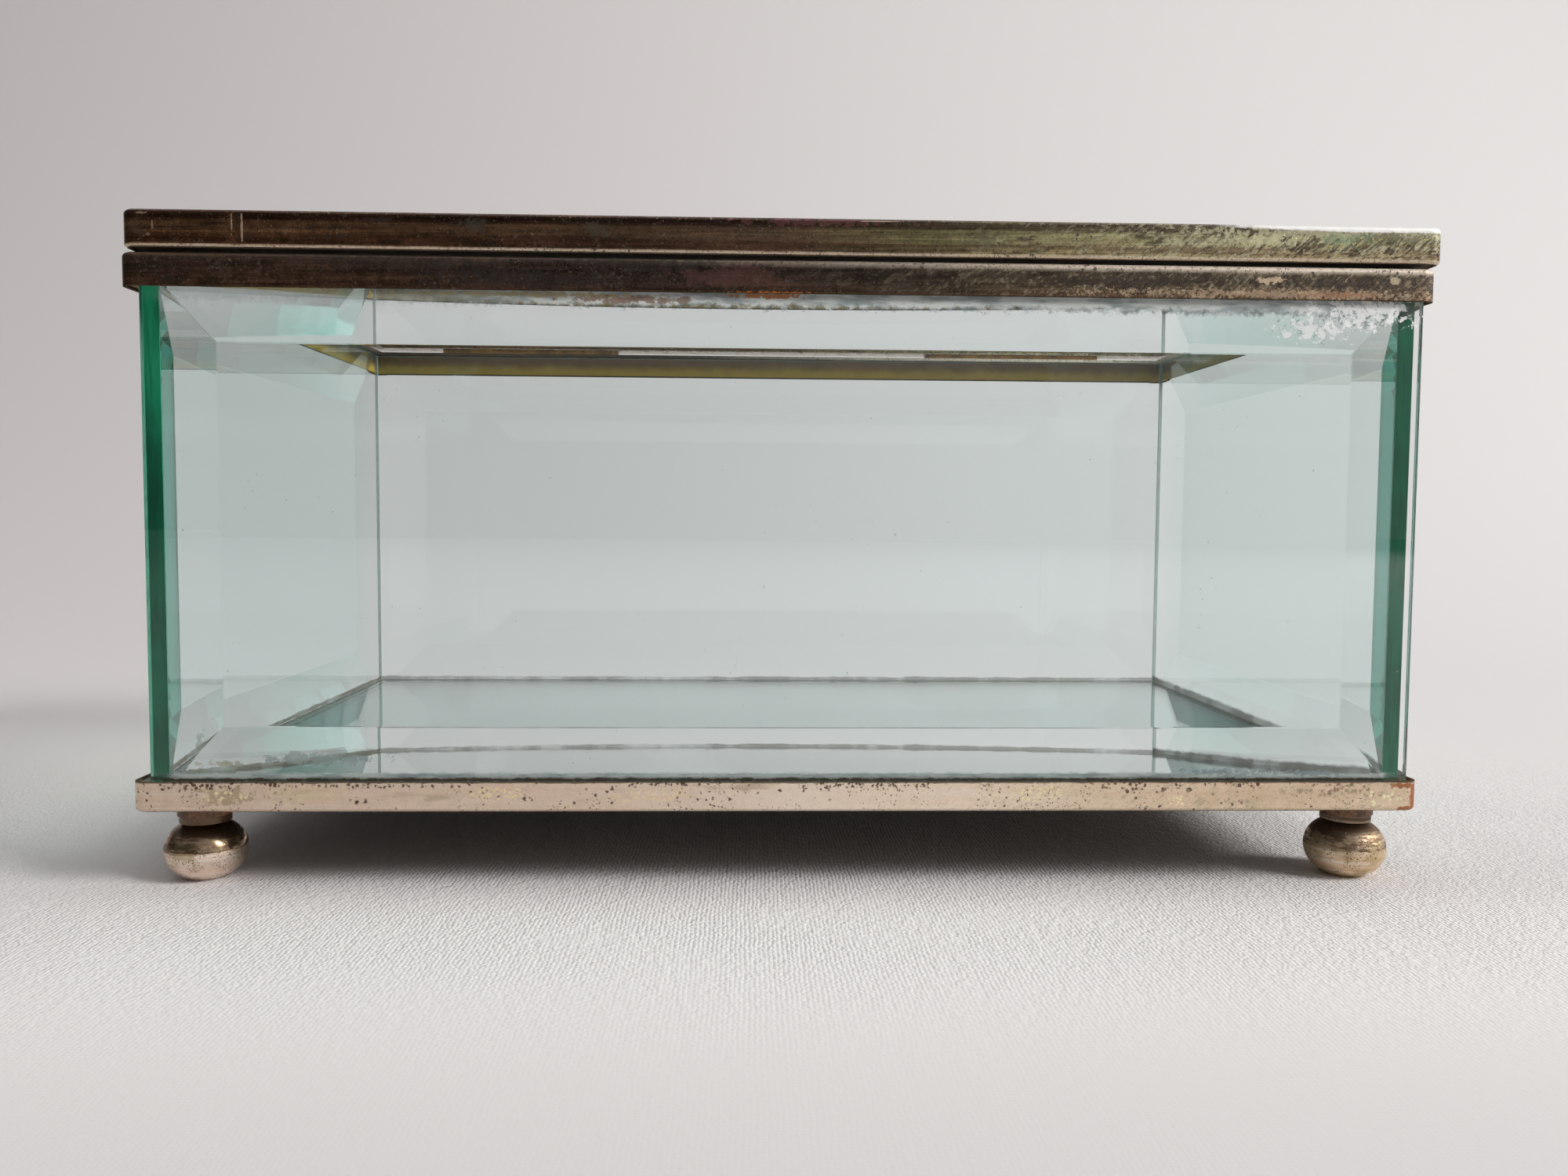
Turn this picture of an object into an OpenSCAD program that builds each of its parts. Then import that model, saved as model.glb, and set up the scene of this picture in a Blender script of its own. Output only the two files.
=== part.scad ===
// A small casket of bevelled plate glass in thin nickel-plated sheet metal, in millimetres.
// Origin: on the ground under the middle of the base tray. +X right, -Y front, +Z up.
// The box stands on four turned feet. The lid turns on two butt hinges behind the back edge.

/* [Body] */
// Length of the base tray, the upper band and the lid frame
body_l = 160; // [120:1:220]
// Depth of the base tray, the upper band and the lid frame
body_d = 95; // [70:1:140]
// Distance from the top of the base tray's rim to the underside of the upper band
glass_show_h = 59.8; // [35:0.1:100]
// Thickness of the sheet metal
sheet_t = 0.5; // [0.4:0.05:0.7]
// Outside radius of the upright corners of the metal parts
corner_r = 1.8; // [1.2:0.1:3]
// Rounding of the metal's outer horizontal edges
edge_r = 0.6; // [0.3:0.05:1]

/* [Base tray] */
// Height of the tray with its folded rim
tray_h = 3.8; // [3.2:0.1:4]

/* [Upper band] */
// Height of the band round the top of the glass
band_h = 4.0; // [3.2:0.1:4.2]
// Width of the flange that covers the top edges of the glass
band_flange_w = 5.0; // [4.6:0.1:8]

/* [Glass] */
// Thickness of the plate glass
glass_t = 5.0; // [4:0.1:6]
// Width of the ground and polished bevel
bevel_w = 10.3; // [7:0.1:14]
// How far the bevel drops from the flat of the pane to its edge
bevel_drop = 2.8; // [1.5:0.1:3]
// Distance from the metal's outer face to the thin edge of a pane
glass_inset = 1.7; // [1.4:0.05:2]
// How far the front pane stands past the right pane
front_over = 0.8; // [0:0.1:0.8]
// Thickness of the cement film between two panes that meet at a corner
corner_film_t = 0.2; // [0.1:0.05:0.4]
// Slack between the cement and the thin edge of a pane
cement_slack = 0.02; // [0.01:0.01:0.1]
// Distance that the cement stays back from the edge of the metal
cement_back = 0.3; // [0.1:0.05:0.8]

/* [Floor] */
// Thickness of the card under the mirror
card_t = 0.8; // [0.6:0.1:1.5]
// Thickness of the silvering and its paint
silver_t = 0.1; // [0.05:0.01:0.2]
// Thickness of the mirror's glass
mirror_t = 3.1; // [2:0.1:4]
// Gap between the floor pieces and the side panes
floor_gap = 0.3; // [0.1:0.05:0.8]
// Width of the corner cut from the card round a rivet head
card_notch = 5.4; // [5:0.1:8]

/* [Feet] */
// Overall height of the feet, from the ground to the tray
foot_h = 9.6; // [9:0.1:16]
// Height of the flattened ball
ball_h = 7.2; // [5:0.1:8]
// Radius of the ball at its widest
ball_r = 5.0; // [4.2:0.1:6]
// Radius of the rounding that forms the ball's side
ball_round_r = 3.65; // [3.6:0.05:4.2]
// Height of the centre of that rounding above the ground
ball_round_z = 3.6; // [3:0.05:3.6]
// Height of the turned ring on top of the ball
ring_h = 0.9; // [0.4:0.1:1.0]
// Radius of the turned ring
ring_r = 3.1; // [2.6:0.1:4]
// Radius of the loose collar between the ring and the tray
collar_r = 3.3; // [2.8:0.1:4.5]
// Distance of a foot's centre from the tray's outer faces
foot_inset = 6.3; // [6.1:0.1:12]
// Radius of the tenon that holds the foot
tenon_r = 1.5; // [1:0.1:1.8]
// Radius of the tenon's riveted head
head_r = 2.2; // [2:0.1:2.4]
// Height of the riveted head
head_h = 0.5; // [0.3:0.1:0.6]
// Height of the turned line round the ball above the ground
line_z = 4.0; // [3:0.1:4.4]
// Width of the turned line
line_w = 0.2; // [0.1:0.05:0.4]
// Depth of the turned line
line_d = 0.12; // [0.05:0.01:0.3]
// Clearance between the tenon and the parts that it passes through
tenon_gap = 0.05; // [0.02:0.01:0.2]

/* [Hinges] */
// Thickness of a hinge leaf
leaf_t = 0.4; // [0.3:0.05:0.6]
// Width of a hinge along the back
hinge_w = 33; // [20:1:40]
// Distance of each hinge's centre from the end of the body
hinge_end = 33; // [24:1:40]
// How far a leaf reaches in over the flange
leaf_reach = 4.4; // [3:0.1:4.5]
// Radius of the knuckles
knuckle_r = 1.2; // [1:0.05:1.6]
// Distance of the hinge line behind the back face
axis_back = 1.5; // [1.5:0.05:2.2]
// Radius of the hinge pin
pin_r = 0.6; // [0.4:0.05:0.8]
// Clearance of the pin in the lid's knuckle
pin_gap = 0.05; // [0.03:0.01:0.1]
// Clearance between neighbouring knuckles, and round a knuckle in the other leaf
knuckle_gap = 0.3; // [0.25:0.05:0.6]

/* [Lid] */
// Height of the lid frame above the hinge leaves
lid_frame_h = 4.25; // [4:0.05:6]
// How far the frame reaches past the body's length at each end
lid_over = 0.2; // [0:0.1:0.6]
// How far the lid sits to the right on its hinges
lid_shift = 0.5; // [-0.5:0.1:0.5]
// How far the frame's lower lip hangs below its bottom flange
lip_h = 0.25; // [0.1:0.05:0.3]
// Width of the frame's bottom flange
lid_bottom_flange_w = 5.0; // [4.6:0.1:8]
// Width of the frame's top flange
lid_top_flange_w = 3.5; // [2.5:0.1:3.8]
// Thickness of the cement bed under the lid's pane
lid_bed_t = 0.2; // [0.1:0.05:0.3]

/* [Hidden] */
$fn = 96;
tiny = 0.01;
// Heights of the main levels above the ground
tray_z = foot_h;
tray_floor_z = tray_z + sheet_t;
tray_top_z = tray_z + tray_h;
band_z = tray_top_z + glass_show_h;
band_top_z = band_z + band_h;
axis_z = band_top_z + leaf_t;
lid_z = axis_z + leaf_t;
lid_top_z = lid_z + lid_frame_h;
pane_z = tray_floor_z;
pane_h = band_top_z - sheet_t - pane_z;
card_z = tray_floor_z;
silver_z = card_z + card_t;
mirror_z = silver_z + silver_t;
collar_z = ball_h + ring_h;
lid_bed_z = lid_z + sheet_t;
lid_pane_z = lid_bed_z + lid_bed_t;
lid_cement_top_z = lid_top_z - sheet_t;
// Plan sizes
thin_edge = glass_t - bevel_drop;
glass_l = body_l - 2 * glass_inset;
glass_d = body_d - 2 * glass_inset;
inner_l = glass_l - 2 * thin_edge;
inner_d = glass_d - 2 * thin_edge;
side_l = inner_d - 2 * corner_film_t;
floor_l = inner_l - 2 * floor_gap;
floor_d = inner_d - 2 * floor_gap;
foot_x = body_l / 2 - foot_inset;
foot_y = body_d / 2 - foot_inset;
axis_y = body_d / 2 + axis_back;
hinge_x = body_l / 2 - hinge_end;
lid_l = body_l + 2 * lid_over;
lid_glass_l = lid_l - 2 * glass_inset;
knuckle_w = (hinge_w - 2 * knuckle_gap) / 3;
knuckle_step = knuckle_w + knuckle_gap;

// ---------- shapes that several parts share ----------

// A block standing on z = 0 with rounded upright corners, centred in plan.
module corner_block(l, d, h, r) {
  translate([-l / 2 + r, -d / 2, 0]) cube([l - 2 * r, d, h]);
  translate([-l / 2, -d / 2 + r, 0]) cube([l, d - 2 * r, h]);
  for (sx = [-1, 1], sy = [-1, 1])
    translate([sx * (l / 2 - r), sy * (d / 2 - r), 0]) cylinder(r = r, h = h);
}

// The outline of a folded edge, seen along the edge: r wide, h high, rounded outside.
module edge_outline(r, h, top_r, bottom_r) {
  difference() {
    square([r, h]);
    if (top_r > 0) translate([r - top_r, h - top_r]) difference() {
      square([top_r + 1, top_r + 1]);
      circle(r = top_r);
    }
    if (bottom_r > 0) translate([r - bottom_r, -1]) difference() {
      square([bottom_r + 1, bottom_r + 1]);
      translate([0, bottom_r + 1]) circle(r = bottom_r);
    }
  }
}

// A block as above whose top or bottom outer edge is rounded too.
module soft_block(l, d, h, r, top_r, bottom_r) {
  for (a = [0, 180]) rotate([0, 0, a]) {
    translate([l / 2 - r, d / 2 - r, 0]) rotate([90, 0, 0])
      linear_extrude(height = d - 2 * r) edge_outline(r, h, top_r, bottom_r);
    translate([-l / 2 + r, d / 2 - r, 0]) rotate([90, 0, 90])
      linear_extrude(height = l - 2 * r) edge_outline(r, h, top_r, bottom_r);
    translate([l / 2 - r, d / 2 - r, 0])
      rotate_extrude(angle = 90) edge_outline(r, h, top_r, bottom_r);
    translate([-l / 2 + r, d / 2 - r, 0]) rotate([0, 0, 90])
      rotate_extrude(angle = 90) edge_outline(r, h, top_r, bottom_r);
  }
  translate([-l / 2 + r, -d / 2 + r, 0]) cube([l - 2 * r, d - 2 * r, h]);
}

// The wedge that grinding a bevel takes off: len long in +X, at the edge y = 0, z = 0.
module bevel_wedge(len) {
  translate([-1, 0, 0]) rotate([90, 0, 90]) linear_extrude(height = len + 2)
    polygon([[-1, -1], [-1, bevel_w * (1 + 1 / bevel_drop)],
             [bevel_drop * (1 + 1 / bevel_w), -1]]);
}

// A pane w wide and h high. Its inner face is the plane y = glass_t, its bevels face -Y.
module bevelled_pane(w, h) {
  difference() {
    translate([-w / 2, 0, 0]) cube([w, glass_t, h]);
    translate([-w / 2, 0, 0]) bevel_wedge(w);
    translate([w / 2, 0, h]) rotate([0, 180, 0]) bevel_wedge(w);
    translate([-w / 2, 0, h]) rotate([0, 90, 0]) bevel_wedge(h);
    translate([w / 2, 0, 0]) rotate([0, -90, 0]) bevel_wedge(h);
  }
}

// ---------- feet ----------

// The turned foot: ball, ring, tenon and riveted head in one piece.
module foot_shape() {
  difference() {
    union() {
      rotate_extrude() intersection() {
        translate([ball_r - ball_round_r, ball_round_z]) circle(r = ball_round_r);
        square([ball_r + 1, ball_h]);
      }
      cylinder(r = ball_r - ball_round_r + 1, h = ball_h);
    }
    translate([0, 0, line_z - line_w / 2]) difference() {
      cylinder(r = ball_r + 1, h = line_w);
      translate([0, 0, -1]) cylinder(r = ball_r - line_d, h = line_w + 2);
    }
  }
  translate([0, 0, ball_h - tiny]) cylinder(r = ring_r, h = ring_h + tiny);
  translate([0, 0, collar_z - tiny]) cylinder(r = tenon_r, h = tray_floor_z - collar_z + tiny);
  translate([0, 0, tray_floor_z])
    cylinder(r1 = head_r, r2 = head_r - head_h / 2, h = head_h);
}

module foot_front_left() {
  color("silver") translate([-foot_x, -foot_y, 0]) foot_shape();
}

module foot_front_right() {
  color("silver") translate([foot_x, -foot_y, 0]) foot_shape();
}

module foot_back_left() {
  color("silver") translate([-foot_x, foot_y, 0]) foot_shape();
}

module foot_back_right() {
  color("silver") translate([foot_x, foot_y, 0]) foot_shape();
}

// The loose collar that the tenon passes through.
module collar_shape() {
  translate([0, 0, collar_z]) difference() {
    cylinder(r = collar_r, h = tray_z - collar_z);
    translate([0, 0, -1]) cylinder(r = tenon_r + tenon_gap, h = tray_z - collar_z + 2);
  }
}

module collar_front_left() {
  color("peru") translate([-foot_x, -foot_y, 0]) collar_shape();
}

module collar_front_right() {
  color("peru") translate([foot_x, -foot_y, 0]) collar_shape();
}

module collar_back_left() {
  color("peru") translate([-foot_x, foot_y, 0]) collar_shape();
}

module collar_back_right() {
  color("peru") translate([foot_x, foot_y, 0]) collar_shape();
}

// ---------- base ----------

// The folded tray: a sheet floor with an upstanding rim, pierced for the four tenons.
module base_tray() {
  color("tan") difference() {
    translate([0, 0, tray_z]) soft_block(body_l, body_d, tray_h, corner_r, 0, edge_r);
    translate([0, 0, tray_floor_z])
      corner_block(body_l - 2 * sheet_t, body_d - 2 * sheet_t, tray_h, corner_r - sheet_t);
    for (sx = [-1, 1], sy = [-1, 1])
      translate([sx * foot_x, sy * foot_y, tray_z - 1])
        cylinder(r = tenon_r + tenon_gap, h = sheet_t + 2);
  }
}

// The card that evens out the floor, with its corners cut away round the rivet heads.
module floor_card() {
  color("burlywood") translate([0, 0, card_z]) difference() {
    translate([-floor_l / 2, -floor_d / 2, 0]) cube([floor_l, floor_d, card_t]);
    for (sx = [-1, 1], sy = [-1, 1])
      translate([sx * floor_l / 2 - card_notch, sy * floor_d / 2 - card_notch, -1])
        cube([2 * card_notch, 2 * card_notch, card_t + 2]);
  }
}

// The silvering with its paint, on the underside of the mirror's glass.
module mirror_silvering() {
  color("gainsboro") translate([-floor_l / 2, -floor_d / 2, silver_z])
    cube([floor_l, floor_d, silver_t]);
}

// The mirror's glass.
module floor_mirror() {
  color("lightsteelblue") translate([-floor_l / 2, -floor_d / 2, mirror_z])
    cube([floor_l, floor_d, mirror_t]);
}

// ---------- glass walls ----------

// The front and back panes run the full length and cover the ends of the side panes.
// The front pane is a little longer, and its right end stands past the right pane.
module front_pane() {
  color("honeydew", 0.4) translate([front_over / 2, -inner_d / 2 - glass_t, pane_z])
    bevelled_pane(glass_l + front_over, pane_h);
}

module back_pane() {
  color("honeydew", 0.4) rotate([0, 0, 180]) translate([0, -inner_d / 2 - glass_t, pane_z])
    bevelled_pane(glass_l, pane_h);
}

module left_pane() {
  color("honeydew", 0.4) rotate([0, 0, -90]) translate([0, -inner_l / 2 - glass_t, pane_z])
    bevelled_pane(side_l, pane_h);
}

module right_pane() {
  color("honeydew", 0.4) rotate([0, 0, 90]) translate([0, -inner_l / 2 - glass_t, pane_z])
    bevelled_pane(side_l, pane_h);
}

// The films of cement between the ends of the side panes and the long panes.
module corner_cement() {
  color("darkseagreen") for (sx = [-1, 1], sy = [-1, 1])
    translate([sx * (inner_l + thin_edge) / 2, sy * (inner_d - corner_film_t) / 2, pane_z])
      translate([-thin_edge / 2, -corner_film_t / 2, 0])
        cube([thin_edge, corner_film_t, pane_h]);
}

// A ring of cement h high between the metal and the thin edges of the panes.
module cement_ring(h) {
  difference() {
    corner_block(body_l - 2 * sheet_t, body_d - 2 * sheet_t, h, corner_r - sheet_t);
    translate([-glass_l / 2 - cement_slack, -glass_d / 2 - cement_slack, -1])
      cube([glass_l + 2 * cement_slack, glass_d + 2 * cement_slack, h + 2]);
    // The end of the front pane that stands past the right pane.
    translate([0, -glass_d / 2 - cement_slack, -1])
      cube([glass_l / 2 + front_over + cement_slack, thin_edge + 2 * cement_slack, h + 2]);
  }
}

module lower_cement() {
  color("darkkhaki") difference() {
    translate([0, 0, tray_floor_z]) cement_ring(tray_h - sheet_t - cement_back);
    front_pane();
    back_pane();
    left_pane();
    right_pane();
  }
}

module upper_cement() {
  color("darkkhaki") difference() {
    translate([0, 0, band_z + cement_back]) cement_ring(band_h - sheet_t - cement_back);
    front_pane();
    back_pane();
    left_pane();
    right_pane();
  }
}

// ---------- upper band ----------

// The folded band: an outer skirt with a flange that covers the glass edges.
module upper_band() {
  color("saddlebrown") difference() {
    translate([0, 0, band_z]) soft_block(body_l, body_d, band_h, corner_r, edge_r, 0);
    translate([0, 0, band_z - sheet_t])
      corner_block(body_l - 2 * sheet_t, body_d - 2 * sheet_t, band_h, corner_r - sheet_t);
    translate([-body_l / 2 + band_flange_w, -body_d / 2 + band_flange_w, band_z - 1])
      cube([body_l - 2 * band_flange_w, body_d - 2 * band_flange_w, band_h + 2]);
  }
}

// ---------- hinges ----------

// A knuckle of width w, centred on x = 0, with a hole of radius r.
module knuckle(w, r) {
  translate([-w / 2, axis_y, axis_z]) rotate([0, 90, 0]) difference() {
    cylinder(r = knuckle_r, h = w);
    translate([0, 0, -1]) cylinder(r = r, h = w + 2);
  }
}

// The body's leaf lies on the band and carries the two outer knuckles.
module body_leaf() {
  difference() {
    translate([-hinge_w / 2, body_d / 2 - leaf_reach, band_top_z])
      cube([hinge_w, leaf_reach + axis_back, leaf_t]);
    translate([-knuckle_w / 2 - knuckle_gap, axis_y - knuckle_r - knuckle_gap, band_top_z - 1])
      cube([knuckle_w + 2 * knuckle_gap, knuckle_r + knuckle_gap + 1, leaf_t + 2]);
    translate([-hinge_w / 2 - 1, axis_y, axis_z]) rotate([0, 90, 0])
      cylinder(r = pin_r, h = hinge_w + 2);
  }
  for (sx = [-1, 1]) translate([sx * knuckle_step, 0, 0]) knuckle(knuckle_w, pin_r);
}

// The lid's leaf lies under the lid frame and carries the middle knuckle.
module lid_leaf() {
  difference() {
    translate([-hinge_w / 2, body_d / 2 - leaf_reach, axis_z])
      cube([hinge_w, leaf_reach + axis_back, leaf_t]);
    for (sx = [-1, 1])
      translate([sx * (knuckle_step + knuckle_gap) - knuckle_w / 2 - knuckle_gap * 1.5,
                 axis_y - knuckle_r - knuckle_gap, axis_z - 1])
        cube([knuckle_w + 2.5 * knuckle_gap, knuckle_r + knuckle_gap + 1, leaf_t + 2]);
    translate([-hinge_w / 2 - 1, axis_y, axis_z]) rotate([0, 90, 0])
      cylinder(r = pin_r + pin_gap, h = hinge_w + 2);
  }
  knuckle(knuckle_w, pin_r + pin_gap);
}

module hinge_pin() {
  translate([-hinge_w / 2, axis_y, axis_z]) rotate([0, 90, 0])
    cylinder(r = pin_r, h = hinge_w);
}

module hinge_left_body_leaf() {
  color("dimgray") translate([-hinge_x, 0, 0]) body_leaf();
}

module hinge_right_body_leaf() {
  color("dimgray") translate([hinge_x, 0, 0]) body_leaf();
}

module hinge_left_pin() {
  color("gray") translate([-hinge_x, 0, 0]) hinge_pin();
}

module hinge_right_pin() {
  color("gray") translate([hinge_x, 0, 0]) hinge_pin();
}

module hinge_left_lid_leaf() {
  color("dimgray") translate([-hinge_x, 0, 0]) lid_leaf();
}

module hinge_right_lid_leaf() {
  color("dimgray") translate([hinge_x, 0, 0]) lid_leaf();
}

// ---------- lid ----------

// The lid frame: a channel folded round the edge of the lid's pane, with a lower lip.
module lid_frame() {
  color("saddlebrown") translate([lid_shift, 0, 0]) difference() {
    translate([0, 0, lid_z - lip_h])
      soft_block(lid_l, body_d, lid_frame_h + lip_h, corner_r, edge_r, sheet_t);
    // The space that the pane and its cement fill
    translate([0, 0, lid_bed_z])
      corner_block(lid_l - 2 * sheet_t, body_d - 2 * sheet_t,
                   lid_frame_h - 2 * sheet_t, corner_r - sheet_t);
    // The opening inside the bottom flange
    translate([-lid_l / 2 + lid_bottom_flange_w, -body_d / 2 + lid_bottom_flange_w, lid_z - 1])
      cube([lid_l - 2 * lid_bottom_flange_w, body_d - 2 * lid_bottom_flange_w,
            lid_frame_h / 2 + 1]);
    // The opening inside the top flange
    translate([-lid_l / 2 + lid_top_flange_w, -body_d / 2 + lid_top_flange_w, lid_bed_z + sheet_t])
      cube([lid_l - 2 * lid_top_flange_w, body_d - 2 * lid_top_flange_w, lid_frame_h + 1]);
    // The recess inside the lip, under the bottom flange
    translate([0, 0, lid_z - lip_h - 1])
      corner_block(lid_l - 2 * sheet_t, body_d - 2 * sheet_t, lip_h + 1, corner_r - sheet_t);
    // The lip stops short of the back, where the hinges are
    translate([-lid_l / 2 - 1, body_d / 2 - lid_bottom_flange_w, lid_z - lip_h - 1])
      cube([lid_l + 2, lid_bottom_flange_w + 1, lip_h + 1]);
  }
}

// The lid's pane lies flat with its bevels up.
module lid_pane() {
  color("honeydew", 0.4) translate([lid_shift, 0, lid_pane_z + glass_t]) lid_pane_shape();
}

module lid_pane_shape() {
  rotate([-90, 0, 0]) difference() {
    translate([-lid_glass_l / 2, 0, -glass_d / 2]) cube([lid_glass_l, glass_t, glass_d]);
    translate([-lid_glass_l / 2, 0, -glass_d / 2]) bevel_wedge(lid_glass_l);
    translate([lid_glass_l / 2, 0, glass_d / 2]) rotate([0, 180, 0]) bevel_wedge(lid_glass_l);
    translate([-lid_glass_l / 2, 0, glass_d / 2]) rotate([0, 90, 0]) bevel_wedge(glass_d);
    translate([lid_glass_l / 2, 0, -glass_d / 2]) rotate([0, -90, 0]) bevel_wedge(glass_d);
  }
}

// The cement that beds the pane and fills the channel round it.
module lid_cement() {
  color("darkkhaki") difference() {
    translate([lid_shift, 0, lid_bed_z])
      corner_block(lid_l - 2 * sheet_t, body_d - 2 * sheet_t,
                   lid_cement_top_z - lid_bed_z, corner_r - sheet_t);
    translate([lid_shift - lid_l / 2 + lid_top_flange_w, -body_d / 2 + lid_top_flange_w,
               lid_bed_z - 1])
      cube([lid_l - 2 * lid_top_flange_w, body_d - 2 * lid_top_flange_w, lid_frame_h + 2]);
    lid_pane();
  }
}

base_tray();
foot_front_left();
foot_front_right();
foot_back_left();
foot_back_right();
collar_front_left();
collar_front_right();
collar_back_left();
collar_back_right();
floor_card();
mirror_silvering();
floor_mirror();
front_pane();
back_pane();
left_pane();
right_pane();
corner_cement();
lower_cement();
upper_cement();
upper_band();
hinge_left_body_leaf();
hinge_right_body_leaf();
hinge_left_pin();
hinge_right_pin();
lid_frame();
lid_cement();
lid_pane();
hinge_left_lid_leaf();
hinge_right_lid_leaf();
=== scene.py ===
"""A vintage casket of bevelled plate glass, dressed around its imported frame."""

import logging
import math
from dataclasses import dataclass, field
from enum import Enum
from functools import cached_property
from typing import Sequence, Union

import bmesh
import bpy
from mathutils import Matrix, Vector


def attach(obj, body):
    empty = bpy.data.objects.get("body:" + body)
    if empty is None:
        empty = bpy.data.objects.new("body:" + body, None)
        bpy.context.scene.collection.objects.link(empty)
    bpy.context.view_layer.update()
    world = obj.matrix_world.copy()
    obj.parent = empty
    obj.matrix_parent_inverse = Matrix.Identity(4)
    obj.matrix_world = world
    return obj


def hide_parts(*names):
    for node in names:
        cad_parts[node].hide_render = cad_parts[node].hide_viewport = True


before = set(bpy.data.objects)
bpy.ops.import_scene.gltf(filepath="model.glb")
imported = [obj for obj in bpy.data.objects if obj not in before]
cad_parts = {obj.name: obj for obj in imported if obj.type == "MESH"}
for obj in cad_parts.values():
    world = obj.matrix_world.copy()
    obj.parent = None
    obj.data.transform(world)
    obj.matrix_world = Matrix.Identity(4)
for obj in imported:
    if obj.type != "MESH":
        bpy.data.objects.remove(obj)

LOG = logging.getLogger("casket")
MM = 0.001
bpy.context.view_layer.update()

# Where the rails' front faces stand, in millimetres.
FRONT_Y = -47.5
# How squarely a face has to look along an axis to count as facing that way.
FACING = 0.9
# Tones laid over a plate along its brushing, and over a foot along its turning.
BRUSHED = ((0.32, (0.14, 0.14, 0.14)), (0.5, (0.5, 0.5, 0.5)), (0.68, (0.88, 0.87, 0.86)))
TURNED = ((0.35, (0.2, 0.2, 0.2)), (0.5, (0.5, 0.5, 0.5)), (0.65, (0.85, 0.84, 0.82)))

Socket = bpy.types.NodeSocket
Value = Union[float, Sequence[float], Socket]
Colour = tuple[float, float, float]
Point = tuple[float, float, float]
Span = tuple[float, float]


class Side(Enum):
    """The four walls, each with the turn about Z that faces it outwards."""

    FRONT = 0.0
    RIGHT = 90.0
    BACK = 180.0
    LEFT = -90.0


# ---------------------------------------------------------------- node trees


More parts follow.
